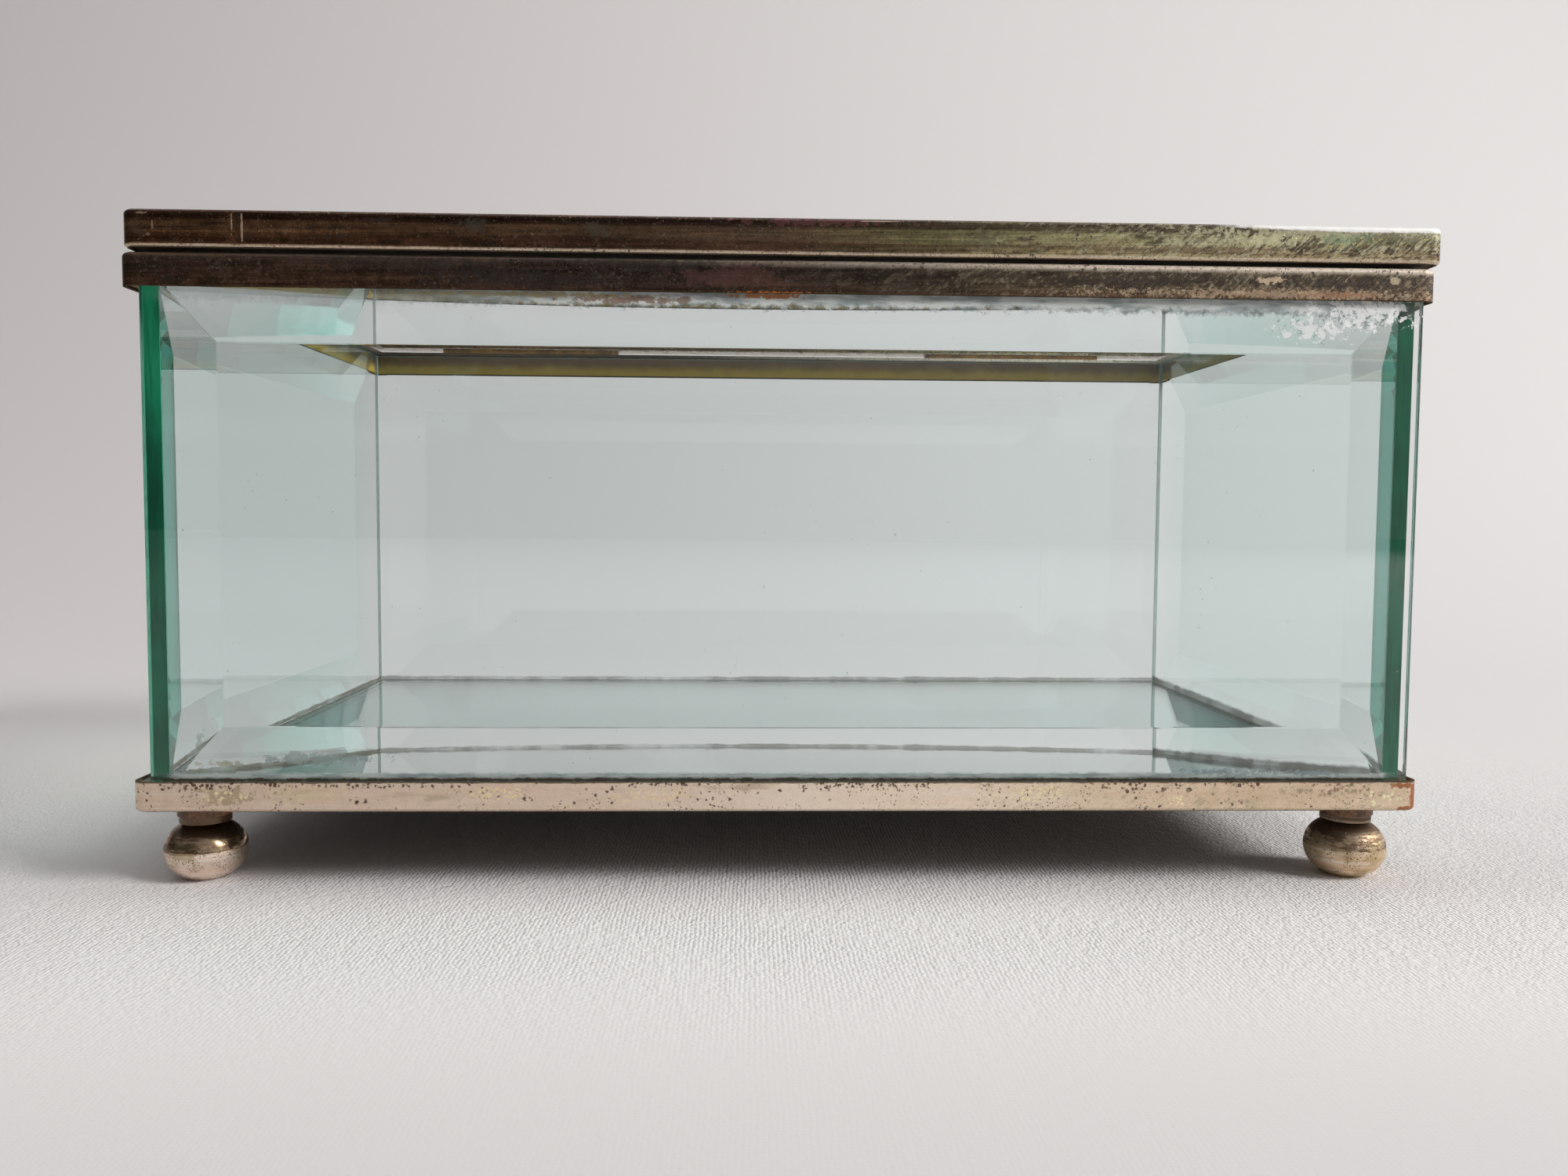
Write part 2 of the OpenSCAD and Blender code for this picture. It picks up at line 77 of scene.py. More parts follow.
class Wiring:
    """A node tree, with short ways to add its nodes and join them."""

    def __init__(self, tree: bpy.types.NodeTree) -> None:
        """Takes the tree that gets the nodes."""
        self.tree = tree

    def put(self, kind: str, sockets: dict[str, Value] | None = None,
            **settings: object) -> bpy.types.Node:
        """Adds a node, then sets or links its inputs.

        Args:
            kind: the node's type without the leading ShaderNode.
            sockets: a value or an output socket for each named or numbered input.
            **settings: the node's own options.

        Returns:
            The new node.
        """
        node = self.tree.nodes.new("ShaderNode" + kind)
        for name, value in settings.items():
            setattr(node, name, value)
        for name, value in (sockets or {}).items():
            target = node.inputs[int(name)] if name.isdigit() else node.inputs[name]
            if isinstance(value, bpy.types.NodeSocket):
                self.tree.links.new(value, target)
                continue
            size = len(target.default_value) if hasattr(target.default_value, "__len__") else 0
            if size and isinstance(value, (int, float)):
                value = (value,) * size
            elif size:
                value = tuple(value) + (1.0,) * (size - len(value))
            target.default_value = value
        return node

    def place(self, group: bpy.types.NodeTree, **sockets: Value) -> bpy.types.Node:
        """Places a shared group in the tree and sets its inputs by name."""
        return self.put("Group", sockets, node_tree=group)

    def mask(self, group: bpy.types.NodeTree, **sockets: Value) -> Socket:
        """Places a shared group and returns its mask."""
        return self.place(group, **sockets).outputs["Mask"]

    def maths(self, operation: str, a: Value, b: Value = 0.0) -> Socket:
        """Returns the result of one maths step on two values."""
        return self.put("Math", {"0": a, "1": b}, operation=operation).outputs[0]

    def plus(self, a: Value, b: Value) -> Socket:
        """Returns a + b."""
        return self.maths("ADD", a, b)

    def less(self, a: Value, b: Value) -> Socket:
        """Returns a - b."""
        return self.maths("SUBTRACT", a, b)

    def times(self, a: Value, b: Value) -> Socket:
        """Returns a times b."""
        return self.maths("MULTIPLY", a, b)

    def most(self, a: Value, b: Value) -> Socket:
        """Returns the larger of two values."""
        return self.maths("MAXIMUM", a, b)

    def size(self, a: Value) -> Socket:
        """Returns a value without its sign."""
        return self.maths("ABSOLUTE", a)

    def vector(self, operation: str, a: Value, b: Value) -> Socket:
        """Returns the result of one vector step on two vectors."""
        return self.put("VectorMath", {"0": a, "1": b}, operation=operation).outputs[0]

    def axes(self, vector: Value) -> tuple[Socket, ...]:
        """Returns a vector's X, Y and Z."""
        return tuple(self.put("SeparateXYZ", {"0": vector}).outputs)

    def noise(self, vector: Value, scale: Value, detail: float, rough: float = 0.5) -> Socket:
        """Returns a noise pattern's value."""
        return self.put("TexNoise", {"Vector": vector, "Scale": scale, "Detail": detail,
                                     "Roughness": rough}).outputs[0]

    def stirred(self, vector: Value, scale: float, reach: float) -> Socket:
        """Makes a vector wander, so that what is drawn on it is less regular.

        Args:
            vector: the vector.
            scale: how fine the wander is.
            reach: how far it goes.

        Returns:
            The wandering vector.
        """
        warp = self.put("TexNoise", {"Vector": vector, "Scale": scale, "Detail": 2.0})
        push = self.put("VectorMath", {"0": warp.outputs["Color"], "Scale": reach},
                        operation="SCALE").outputs[0]
        return self.vector("ADD", vector, push)

    def bump(self, height: Value, strength: Value, distance: float) -> Socket:
        """Returns the normal of a surface that stands up where the height is large."""
        return self.put("Bump", {"Height": height, "Strength": strength,
                                 "Distance": distance}).outputs[0]

    def ramp(self, value: Value, low: Value, high: Value, out_low: float = 0.0,
             out_high: float = 1.0) -> Socket:
        """Maps a value smoothly from one span to another.

        Args:
            value: the value to map.
            low: where the span starts.
            high: where the span ends.
            out_low: the result at low.
            out_high: the result at high.

        Returns:
            The mapped value's socket.
        """
        return self.put("MapRange", {
            "Value": value, "From Min": low, "From Max": high, "To Min": out_low,
            "To Max": out_high}, interpolation_type="SMOOTHSTEP").outputs["Result"]

    def step(self, value: Value, at: float, reach: float, low: float = 0.0,
             high: float = 1.0) -> Socket:
        """Goes softly from low to high where a value passes a point."""
        return self.ramp(value, at - reach, at + reach, low, high)

    def blend(self, mask: Value, a: Value, b: Value, mode: str = "MIX") -> Socket:
        """Mixes two colours by a mask.

        Args:
            mask: how much of the second colour shows.
            a: the first colour.
            b: the second colour.
            mode: the way that they mix.

        Returns:
            The mixed colour's socket.
        """
        return self.put("Mix", {"0": mask, "6": a, "7": b}, data_type="RGBA",
                        blend_type=mode).outputs[2]

    def stops(self, value: Value, marks: Sequence[tuple[float, Colour]]) -> Socket:
        """Runs a value through a colour ramp.

        Args:
            value: the value, from 0 to 1.
            marks: the place and colour of each stop, in order.

        Returns:
            The colour's socket.
        """
        node = self.put("ValToRGB", {"Fac": value})
        cells = node.color_ramp.elements
        while len(cells) < len(marks):
            cells.new(0.5)
        for cell, (place, colour) in zip(cells, marks):
            cell.position = place
            cell.color = (*colour, 1.0)
        return node.outputs["Color"]


class Dressing(Wiring):
    """A new material's node tree, with its Object coordinates in metres."""

    def __init__(self, name: str) -> None:
        """Makes an empty material.

        Args:
            name: the material's name.
        """
        self.material = bpy.data.materials.new(name)
        self.material.use_nodes = True
        super().__init__(self.material.node_tree)
        self.tree.nodes.clear()
        self.where: Socket = self.put("TexCoord").outputs["Object"]

    @cached_property
    def parts(self) -> tuple[Socket, ...]:
        """The X, Y and Z of the Object coordinates."""
        return self.axes(self.where)

    @property
    def x(self) -> Socket:
        """How far to the right."""
        return self.parts[0]

    @property
    def y(self) -> Socket:
        """How far to the back."""
        return self.parts[1]

    @property
    def z(self) -> Socket:
        """How far up."""
        return self.parts[2]

    def place(self, group: bpy.types.NodeTree, **sockets: Value) -> bpy.types.Node:
        """Places a shared group, on the Object coordinates unless told otherwise."""
        return super().place(group, **{"Vector": self.where, **sockets})

    def patches(self, scale: float) -> tuple[Socket, Socket]:
        """Returns soft patches all over, as a mask and as the pattern under it."""
        made = self.place(Effects.clouds, Scale=scale, Start=0.35, Full=0.65)
        return made.outputs["Mask"], made.outputs["Raw"]

    def raw(self, group: bpy.types.NodeTree, **sockets: Value) -> Socket:
        """Places a shared group and returns its pattern before it becomes a mask."""
        return self.place(group, **sockets).outputs["Raw"]

    def behind(self) -> Socket:
        """Returns the mask of all that lies behind the front pane."""
        return self.ramp(self.y, -0.04, -0.03)

    def close(self, surface: Socket, **more: Socket) -> bpy.types.Material:
        """Links a surface, and a volume if there is one, and returns the material."""
        self.put("OutputMaterial", {"Surface": surface, **more})
        return self.material

    def principled(self, sockets: dict[str, Value]) -> bpy.types.Material:
        """Closes the material with one Principled BSDF."""
        return self.close(self.put("BsdfPrincipled", sockets).outputs[0])


class SharedGroup(Wiring):
    """A shader node group with named inputs and outputs that several materials share."""

    def __init__(self, name: str, inputs: dict[str, Union[float, Colour]],
                 *outputs: str) -> None:
        """Makes the group's tree and its sockets.

        Args:
            name: the group's name.
            inputs: each input's default value, besides the Vector that every group takes.
            *outputs: the outputs' names, all of them plain values.
        """
        super().__init__(bpy.data.node_groups.new(name, "ShaderNodeTree"))
        new_socket = self.tree.interface.new_socket
        for label, value in {"Vector": (0.0, 0.0, 0.0), **inputs}.items():
            kind = "NodeSocketFloat" if isinstance(value, float) else "NodeSocketVector"
            new_socket(name=label, in_out="INPUT", socket_type=kind).default_value = value
        for label in outputs:
            new_socket(name=label, in_out="OUTPUT", socket_type="NodeSocketFloat")
        self.given = self.tree.nodes.new("NodeGroupInput").outputs
        self.result = self.tree.nodes.new("NodeGroupOutput").inputs

    def shifted(self) -> Socket:
        """Moves the Vector by the Shift, so that one pattern gives many.

        Returns:
            The moved vector.
        """
        shift = self.given["Shift"]
        step = self.put("CombineXYZ", {"X": shift, "Y": self.times(shift, 0.37),
                                       "Z": self.times(shift, -0.61)}).outputs[0]
        return self.vector("ADD", self.given["Vector"], step)

    def finish(self, **results: Socket) -> bpy.types.NodeTree:
        """Links the results to the group's outputs and returns the tree."""
        for name, socket in results.items():
            self.tree.links.new(socket, self.result[name])
        return self.tree


def clouds_group() -> bpy.types.NodeTree:
    """Builds the group for broad stains: soft patches over a surface.

    Returns:
        The group's tree.
    """
    group = SharedGroup("stain clouds", {"Scale": 40.0, "Start": 0.45, "Full": 0.6,
                                         "Shift": 0.0}, "Mask", "Raw")
    given = group.given
    noise = group.noise(group.shifted(), given["Scale"], 4.0, 0.6)
    return group.finish(Mask=group.ramp(noise, given["Start"], given["Full"]), Raw=noise)


def specks_group() -> bpy.types.NodeTree:
    """Builds the group for rust specks and pits: small ragged dots in loose clusters.

    Returns:
        The group's tree.
    """
    group = SharedGroup("specks", {"Scale": 1500.0, "Size": 0.3, "Spread": 0.55,
                                   "Shift": 0.0}, "Mask")
    given = group.given
    where = group.shifted()
    cells = group.put("TexVoronoi", {"Vector": group.stirred(where, 2500.0, 0.0005),
                                     "Scale": given["Scale"]})
    dots = group.ramp(cells.outputs["Distance"], given["Size"],
                      group.times(given["Size"], 0.5))
    patch = group.noise(where, group.times(given["Scale"], 0.12), 2.0)
    clusters = group.ramp(patch, given["Spread"], group.plus(given["Spread"], 0.06))
    return group.finish(Mask=group.times(dots, clusters))


def scratches_group() -> bpy.types.NodeTree:
    """Builds the group for fine scratches along one direction in the plane of a rail.

    Returns:
        The group's tree.
    """
    group = SharedGroup("fine scratches", {"Angle": 0.0, "Along": 120.0, "Across": 4000.0,
                                           "Start": 0.62}, "Mask", "Raw")
    given = group.given
    turned = group.put("VectorRotate", {"Vector": given["Vector"], "Angle": given["Angle"]},
                       rotation_type="Y_AXIS").outputs[0]
    scale = group.put("CombineXYZ", {"X": given["Along"], "Y": given["Along"],
                                     "Z": given["Across"]}).outputs[0]
    lines = group.noise(group.vector("MULTIPLY", turned, scale), 1.0, 3.0, 0.65)
    mask = group.ramp(lines, given["Start"], group.plus(given["Start"], 0.08))
    return group.finish(Mask=mask, Raw=lines)


def level_group() -> bpy.types.NodeTree:
    """Builds the group for what gathers along a level line, such as grime at a seam.

    Returns:
        The group's tree.
    """
    group = SharedGroup("level line", {"Height": 0.0, "Reach": 0.001, "Ragged": 0.0006,
                                       "Scale": 300.0}, "Mask")
    given = group.given
    noise = group.noise(given["Vector"], given["Scale"], 4.0, 0.65)
    push = group.times(group.less(noise, 0.5), given["Ragged"])
    away = group.size(group.less(group.axes(given["Vector"])[2], given["Height"]))
    away = group.plus(away, group.times(push, 4.0))
    return group.finish(Mask=group.ramp(away, given["Reach"],
                                        group.times(given["Reach"], 0.4)))


def mark_group() -> bpy.types.NodeTree:
    """Builds the group for one local mark: a ragged patch round a point.

    Returns:
        The group's tree.
    """
    group = SharedGroup("local mark", {"Centre": (0.0, 0.0, 0.0), "Reach": (1.0, 1.0, 1.0),
                                       "Ragged": 1.0, "Scale": 1200.0}, "Mask")
    given = group.given
    away = group.vector("SUBTRACT", given["Vector"], given["Centre"])
    away = group.vector("DIVIDE", away, given["Reach"])
    length = group.put("VectorMath", {"0": away}, operation="LENGTH").outputs["Value"]
    noise = group.noise(given["Vector"], given["Scale"], 4.0, 0.7)
    push = group.times(group.less(noise, 0.5), group.times(given["Ragged"], 4.0))
    return group.finish(Mask=group.ramp(group.plus(length, push), 1.0, 0.7))


class Effects:
    """The node groups that several materials share, each built once."""

    clouds: bpy.types.NodeTree
    specks: bpy.types.NodeTree
    scratches: bpy.types.NodeTree
    level: bpy.types.NodeTree
    mark: bpy.types.NodeTree

    @classmethod
    def build(cls) -> None:
        """Builds every shared group."""
        cls.clouds = clouds_group()
        cls.specks = specks_group()
        cls.scratches = scratches_group()
        cls.level = level_group()
        cls.mark = mark_group()


# ---------------------------------------------------------------- finishes


@dataclass(frozen=True)
class Mark:
    """One stain, nick or worn patch on a front face, or a painted highlight, in millimetres."""

    x: float
    z: float
    half_width: float
    half_height: float
    colour: Colour
    strength: float = 0.8
    ragged: float = 1.0
    scale: float = 1200.0
    y: float = FRONT_Y
    dull: float = 0.5
    speckled: float = 0.0

    def cover(self, tree: Dressing) -> Socket:
        """Draws the mark.

        Args:
            tree: the material's nodes.

        Returns:
            How strongly the mark covers each place.
        """
        spot = tree.place(Effects.mark, Ragged=self.ragged, Scale=self.scale,
                          Centre=(self.x * MM, self.y * MM, self.z * MM),
                          Reach=(self.half_width * MM, 4.0 * MM, self.half_height * MM))
        mask = tree.times(spot.outputs["Mask"], self.strength)
        if self.speckled:
            dots = tree.mask(Effects.specks, Scale=self.speckled, Size=0.58, Spread=0.3,
                             Shift=self.x)
            mask = tree.times(mask, dots)
        return mask


@dataclass(frozen=True)
class PlateFinish:
    """Nickel plate on thin sheet, more or less tarnished, with painted reflection and painted
    shade in its tones and edge lines.
    """

    name: str
    # along: the tone along the rail, partly tarnish and partly painted reflection of the room,
    # darker at the left and lighter at the right.
    along: tuple[tuple[float, Colour], ...]
    # profile: painted reflection and painted shade up the face, multiplied into the tone.
    profile: tuple[tuple[float, Colour], ...]
    low_z: float
    high_z: float
    crust: Colour
    crust_start: float
    crust_from: float
    stain: Colour
    stain_start: float
    rust: Colour
    rust_spread: float
    rough: Span
    # Colours of the lines along the bottom and top edges: wear, and a painted highlight or painted
    # shadow.
    bottom_edge_wear_and_painted_light: Colour
    top_edge_wear_and_painted_light: Colour
    low_reach: float = 0.4
    high_reach: float = 0.4
    glow: Span = (0.7, 0.7)
    glow_left: float = 1.0
    scratch: float = 0.35
    brushed: float = 1.0
    chalky: float = 0.5
    crust_span: float = 70.0
    pitted: float = 0.0
    # Painted shade: the colour and strength given to level faces behind the front.
    hidden_painted_shade: Colour = (0.06, 0.045, 0.03)
    hidden_shade_strength: float = 0.9
    metal: float = 0.9
    shift: float = 0.0
    strokes: float = 0.0
    rail: Span = (-0.08, 0.08)
    shine_from: Span = (-0.03, 0.06)
    strokes_from: Span = (0.025, 0.07)
    hidden_shade_from: Span = (0.02, 0.03)
    dots: tuple[tuple[float, float, float], ...] = ((1300.0, 0.36, 0.03), (2600.0, 0.34, 0.0),
                                                    (3600.0, 0.3, -0.06))
    marks: tuple[Mark, ...] = ()

    def edge(self, tree: Dressing, z: float, reach: float) -> Socket:
        """Returns the mask of a line along the edge at a height, for wear and a painted highlight
        or painted shadow.
        """
        return tree.mask(Effects.level, Height=z * MM, Reach=reach * MM, Ragged=0.0001,
                         Scale=300.0)

    def tone(self, tree: Dressing) -> tuple[Socket, Socket]:
        """Colours the plate, with its painted reflection and shade, before its rust and marks.

        Args:
            tree: the material's nodes.

        Returns:
            The colour, and how dull the plate is.
        """
        dull: Value = 0.0
        wander = tree.raw(Effects.clouds, Scale=30.0, Shift=self.shift)
        # The tone along the rail times the profile up it: tarnish, with painted reflection of the
        # room and painted shade.
        across = tree.plus(tree.ramp(tree.x, *self.rail),
                           tree.times(tree.less(wander, 0.5), 0.3))
        height = tree.put("MapRange", {"Value": tree.z, "From Min": self.low_z * MM,
                                       "From Max": self.high_z * MM}).outputs[0]
        tone = tree.blend(1.0, tree.stops(across, self.along), tree.stops(height, self.profile),
                          "MULTIPLY")
        for across_scale, amount in ((1300.0, 0.6), (5200.0, 0.55)):
            streak = tree.raw(Effects.scratches, Angle=0.012, Along=60.0, Across=across_scale,
                              Start=0.56)
            tone = tree.blend(amount * self.brushed, tone, tree.stops(streak, BRUSHED),
                              "OVERLAY")
        drawn = tree.vector("MULTIPLY", tree.where, (0.4, 1.0, 1.6))
        stain = tree.mask(Effects.clouds, Vector=drawn, Scale=330.0, Shift=self.shift + 3.0,
                          Start=self.stain_start, Full=self.stain_start + 0.1)
        tone = tree.blend(tree.times(stain, 0.8), tone, self.stain)
        near = tree.ramp(tree.x, self.crust_from * MM, (self.crust_from + self.crust_span) * MM,
                         0.0, 0.9)
        slanted = tree.put("VectorRotate", {"Vector": tree.where, "Angle": 0.5},
                           rotation_type="Y_AXIS").outputs[0]
        slanted = tree.vector("MULTIPLY", slanted, (0.6, 1.0, 1.5))
        for scale, colour, step in ((1500.0, self.stain, -0.02), (800.0, self.crust, 0.0),
                                    (1900.0, self.crust, 0.015), (2300.0, self.stain, 0.02)):
            crust = tree.mask(Effects.clouds, Vector=slanted, Scale=scale,
                              Shift=self.shift + 8.0 + scale * 0.001,
                              Start=self.crust_start + step, Full=self.crust_start + step + 0.06)
            cover = tree.times(crust, near)
            tone = tree.blend(cover, tone, colour)
            dull = tree.most(dull, tree.times(cover, self.chalky))
        lines = tree.mask(Effects.scratches, Angle=0.55, Along=500.0, Across=5200.0, Start=0.6)
        lines = tree.times(lines, tree.times(near, self.scratch))
        tone = tree.blend(lines, tone, self.crust)
        if self.strokes:
            tone, dull = self.worn(tree, tone, dull, height)
        # Lines along the top and bottom edges: wear, and a painted highlight or painted shadow;
        # the top line is also made dull.
        high = tree.times(self.edge(tree, self.high_z, self.high_reach),
                          tree.ramp(tree.x, *self.shine_from, self.glow[1] * self.glow_left,
                                    self.glow[1]))
        tone = tree.blend(high, tone, self.top_edge_wear_and_painted_light)
        low = self.edge(tree, self.low_z, self.low_reach)
        tone = tree.blend(tree.times(low, self.glow[0]), tone, self.bottom_edge_wear_and_painted_light)
        return tone, tree.most(dull, tree.times(high, 0.7))

    def worn(self, tree: Dressing, tone: Socket, dull: Value,
             height: Socket) -> tuple[Socket, Socket]:
        """Lays short slanting strokes of wear over the middle of the right end.

        Args:
            tree: the material's nodes.
            tone: the colour so far.
            dull: how dull it is so far.
            height: the place across the rail, from 0 to 1.

        Returns:
            The new colour and how dull it is.
        """
        zone = tree.times(tree.ramp(tree.x, *self.strokes_from, 0.0, self.strokes),
                          tree.times(tree.ramp(height, 0.18, 0.36),
                                     tree.ramp(height, 0.72, 0.9, 1.0, 0.0)))
        for along, start, colour in ((560.0, 0.52, self.crust), (430.0, 0.5, self.stain)):
            lines = tree.mask(Effects.scratches, Angle=0.75, Along=along, Across=along * 7.0,
                              Start=start)
            cover = tree.times(lines, zone)
            tone = tree.blend(cover, tone, colour)
            dull = tree.most(dull, tree.times(cover, self.chalky))
        return tone, dull

    def material(self) -> bpy.types.Material:
        """Builds the plate's material.

        Returns:
            The material.
        """
        tree = Dressing(self.name)
        tone, dull = self.tone(tree)
        rust: Value = 0.0
        for scale, size, spread in self.dots:
            dots = tree.mask(Effects.specks, Scale=scale, Size=size,
                             Spread=self.rust_spread + spread, Shift=self.shift + scale * 0.01)
            rust = tree.most(rust, tree.times(dots, 0.9))
        tone = tree.blend(rust, tone, self.rust)
        if self.pitted:
            grit = tree.mask(Effects.clouds, Scale=3000.0, Shift=self.shift + 1.0, Start=0.53,
                             Full=0.63)
            dust = tree.mask(Effects.clouds, Scale=2600.0, Shift=self.shift + 6.0, Start=0.6,
                             Full=0.68)
            tone = tree.blend(tree.times(grit, self.pitted), tone, self.rust)
            tone = tree.blend(tree.times(dust, self.pitted * 0.8), tone, self.crust)
        dull = tree.most(dull, rust)
        for mark in self.marks:
            cover = mark.cover(tree)
            tone = tree.blend(cover, tone, mark.colour)
            dull = tree.most(dull, tree.times(cover, mark.dull))
        # Painted shade: level faces behind the front are darkened towards a dark colour and made
        # dull and rough.
        level = tree.size(tree.axes(tree.put("NewGeometry").outputs["Normal"])[2])
        shade = tree.times(tree.ramp(level, FACING, 0.97, 0.0, self.hidden_shade_strength),
                           tree.ramp(tree.y, *self.hidden_shade_from, 1.0, 0.0))
        tone = tree.blend(shade, tone, self.hidden_painted_shade)
        dull = tree.most(dull, shade)
        grain = tree.raw(Effects.clouds, Scale=800.0, Shift=self.shift)
        rough = tree.plus(tree.ramp(grain, 0.35, 0.65, *self.rough),
                          tree.plus(tree.times(dull, 0.2), tree.times(shade, 0.5)))
        metal = tree.times(tree.less(1.0, dull), self.metal)
        height = tree.plus(tree.times(grain, 0.3), tree.times(rust, 0.8))
        bump = tree.bump(height, 0.3, 0.00008)
        return tree.principled({"Base Color": tone, "Metallic": metal, "Roughness": rough,
                                "Specular IOR Level": tree.ramp(shade, 0.0, 1.0, 0.5, 0.05),
                                "Normal": bump})


@dataclass(frozen=True)
class GlassFinish:
    """Old plate glass: clear, a little green in its depth, with light wear."""

    name: str = "plate glass"
    ior: float = 1.52
    tint: Colour = (0.1, 0.8, 0.77)
    density: float = 15.0
    shadow: Colour = (0.745, 0.712, 0.705)

    def film(self, tree: Dressing) -> tuple[Socket, Socket] | None:
        """Returns the mask and colour of what lies on the glass, if anything does."""
        return None

    def material(self) -> bpy.types.Material:
        """Builds the glass material.

        Returns:
            The material.
        """
        tree = Dressing(self.name)
        bump = tree.bump(tree.noise(tree.where, 18.0, 0.0), 0.1, 0.0003)
        glass = tree.put("BsdfPrincipled", {"Base Color": (1.0, 1.0, 1.0), "Roughness": 0.0,
                                            "IOR": self.ior, "Transmission Weight": 1.0,
                                            "Normal": bump}).outputs[0]
        film = self.film(tree)
        if film is not None:
            chalk = tree.put("BsdfPrincipled", {"Base Color": film[1], "Roughness": 0.8})
            glass = tree.put("MixShader", {"0": film[0], "1": glass,
                                           "2": chalk.outputs[0]}).outputs[0]
        pass_on = tree.put("BsdfTransparent", {"Color": self.shadow})
        path = tree.put("LightPath")
        surface = tree.put("MixShader", {"0": path.outputs["Is Shadow Ray"], "1": glass,
                                         "2": pass_on.outputs[0]})
        depth = tree.put("VolumeAbsorption", {"Color": self.tint, "Density": self.density})
        return tree.close(surface.outputs[0], Volume=depth.outputs[0])


@dataclass(frozen=True)
class WallGlassFinish(GlassFinish):
    """The back and side panes' glass, with grime where they meet the mirror."""

    right_reach: float = 0.0
    cover: Span = (0.25, 0.6)
    seam_z: float = 14.3
    half_length: float = 76.1
    half_depth: float = 43.6
    seam: Colour = (0.09, 0.075, 0.04)
    thin: Colour = (0.15, 0.17, 0.13)
    reach: float = 0.00045
    right_from: Span = (0.0, 0.075)

    def film(self, tree: Dressing) -> tuple[Socket, Socket] | None:
        """Lays a seam of grime along the inside of the panes.

        Args:
            tree: the material's nodes.

        Returns:
            The mask and the colour of what lies on the glass.
        """
        line = tree.mask(Effects.level, Height=self.seam_z * MM,
                         Reach=tree.ramp(tree.x, *self.right_from, self.reach,
                                         self.reach + self.right_reach),
                         Ragged=0.0002, Scale=300.0)
        inside: Value = 1.0
        for along, half in ((tree.x, self.half_length), (tree.y, self.half_depth)):
            inside = tree.times(inside, tree.ramp(tree.size(along), (half + 0.2) * MM,
                                                  (half + 0.4) * MM, 1.0, 0.0))
        patch = tree.mask(Effects.clouds, Scale=90.0, Start=0.35, Full=0.6)
        mask = tree.times(tree.times(line, inside), tree.ramp(patch, 0.0, 1.0, *self.cover))
        return mask, tree.blend(patch, self.thin, self.seam)


@dataclass(frozen=True)
class MirrorGlassFinish(GlassFinish):
    """The mirror's glass, with grime that has gathered round its border and a few specks."""

    name: str = "mirror glass"
    half_length: float = 75.8
    half_depth: float = 43.3
    border: float = 0.75
    grime: Colour = (0.05, 0.05, 0.035)
    speck: Colour = (0.4, 0.42, 0.38)

    def film(self, tree: Dressing) -> tuple[Socket, Socket] | None:
        """Lays grime round the border of the mirror, and a few specks.

        Args:
            tree: the material's nodes.

        Returns:
            The mask and the colour of what lies on the glass.
        """
        noise = tree.raw(Effects.clouds, Scale=500.0)
        push = tree.times(tree.less(noise, 0.5), 0.0012)
        mask: Value = 0.0
        for along, half in ((tree.x, self.half_length), (tree.y, self.half_depth)):
            reach = tree.plus(tree.size(along), push)
            mask = tree.most(mask, tree.ramp(reach, (half - self.border) * MM,
                                             (half - self.border * 0.4) * MM))
        specks = tree.mask(Effects.specks, Scale=420.0, Size=0.1, Spread=0.52, Shift=3.0)
        mask = tree.most(tree.times(mask, 0.85), tree.times(specks, 0.6))
        return mask, tree.blend(specks, self.grime, self.speck)


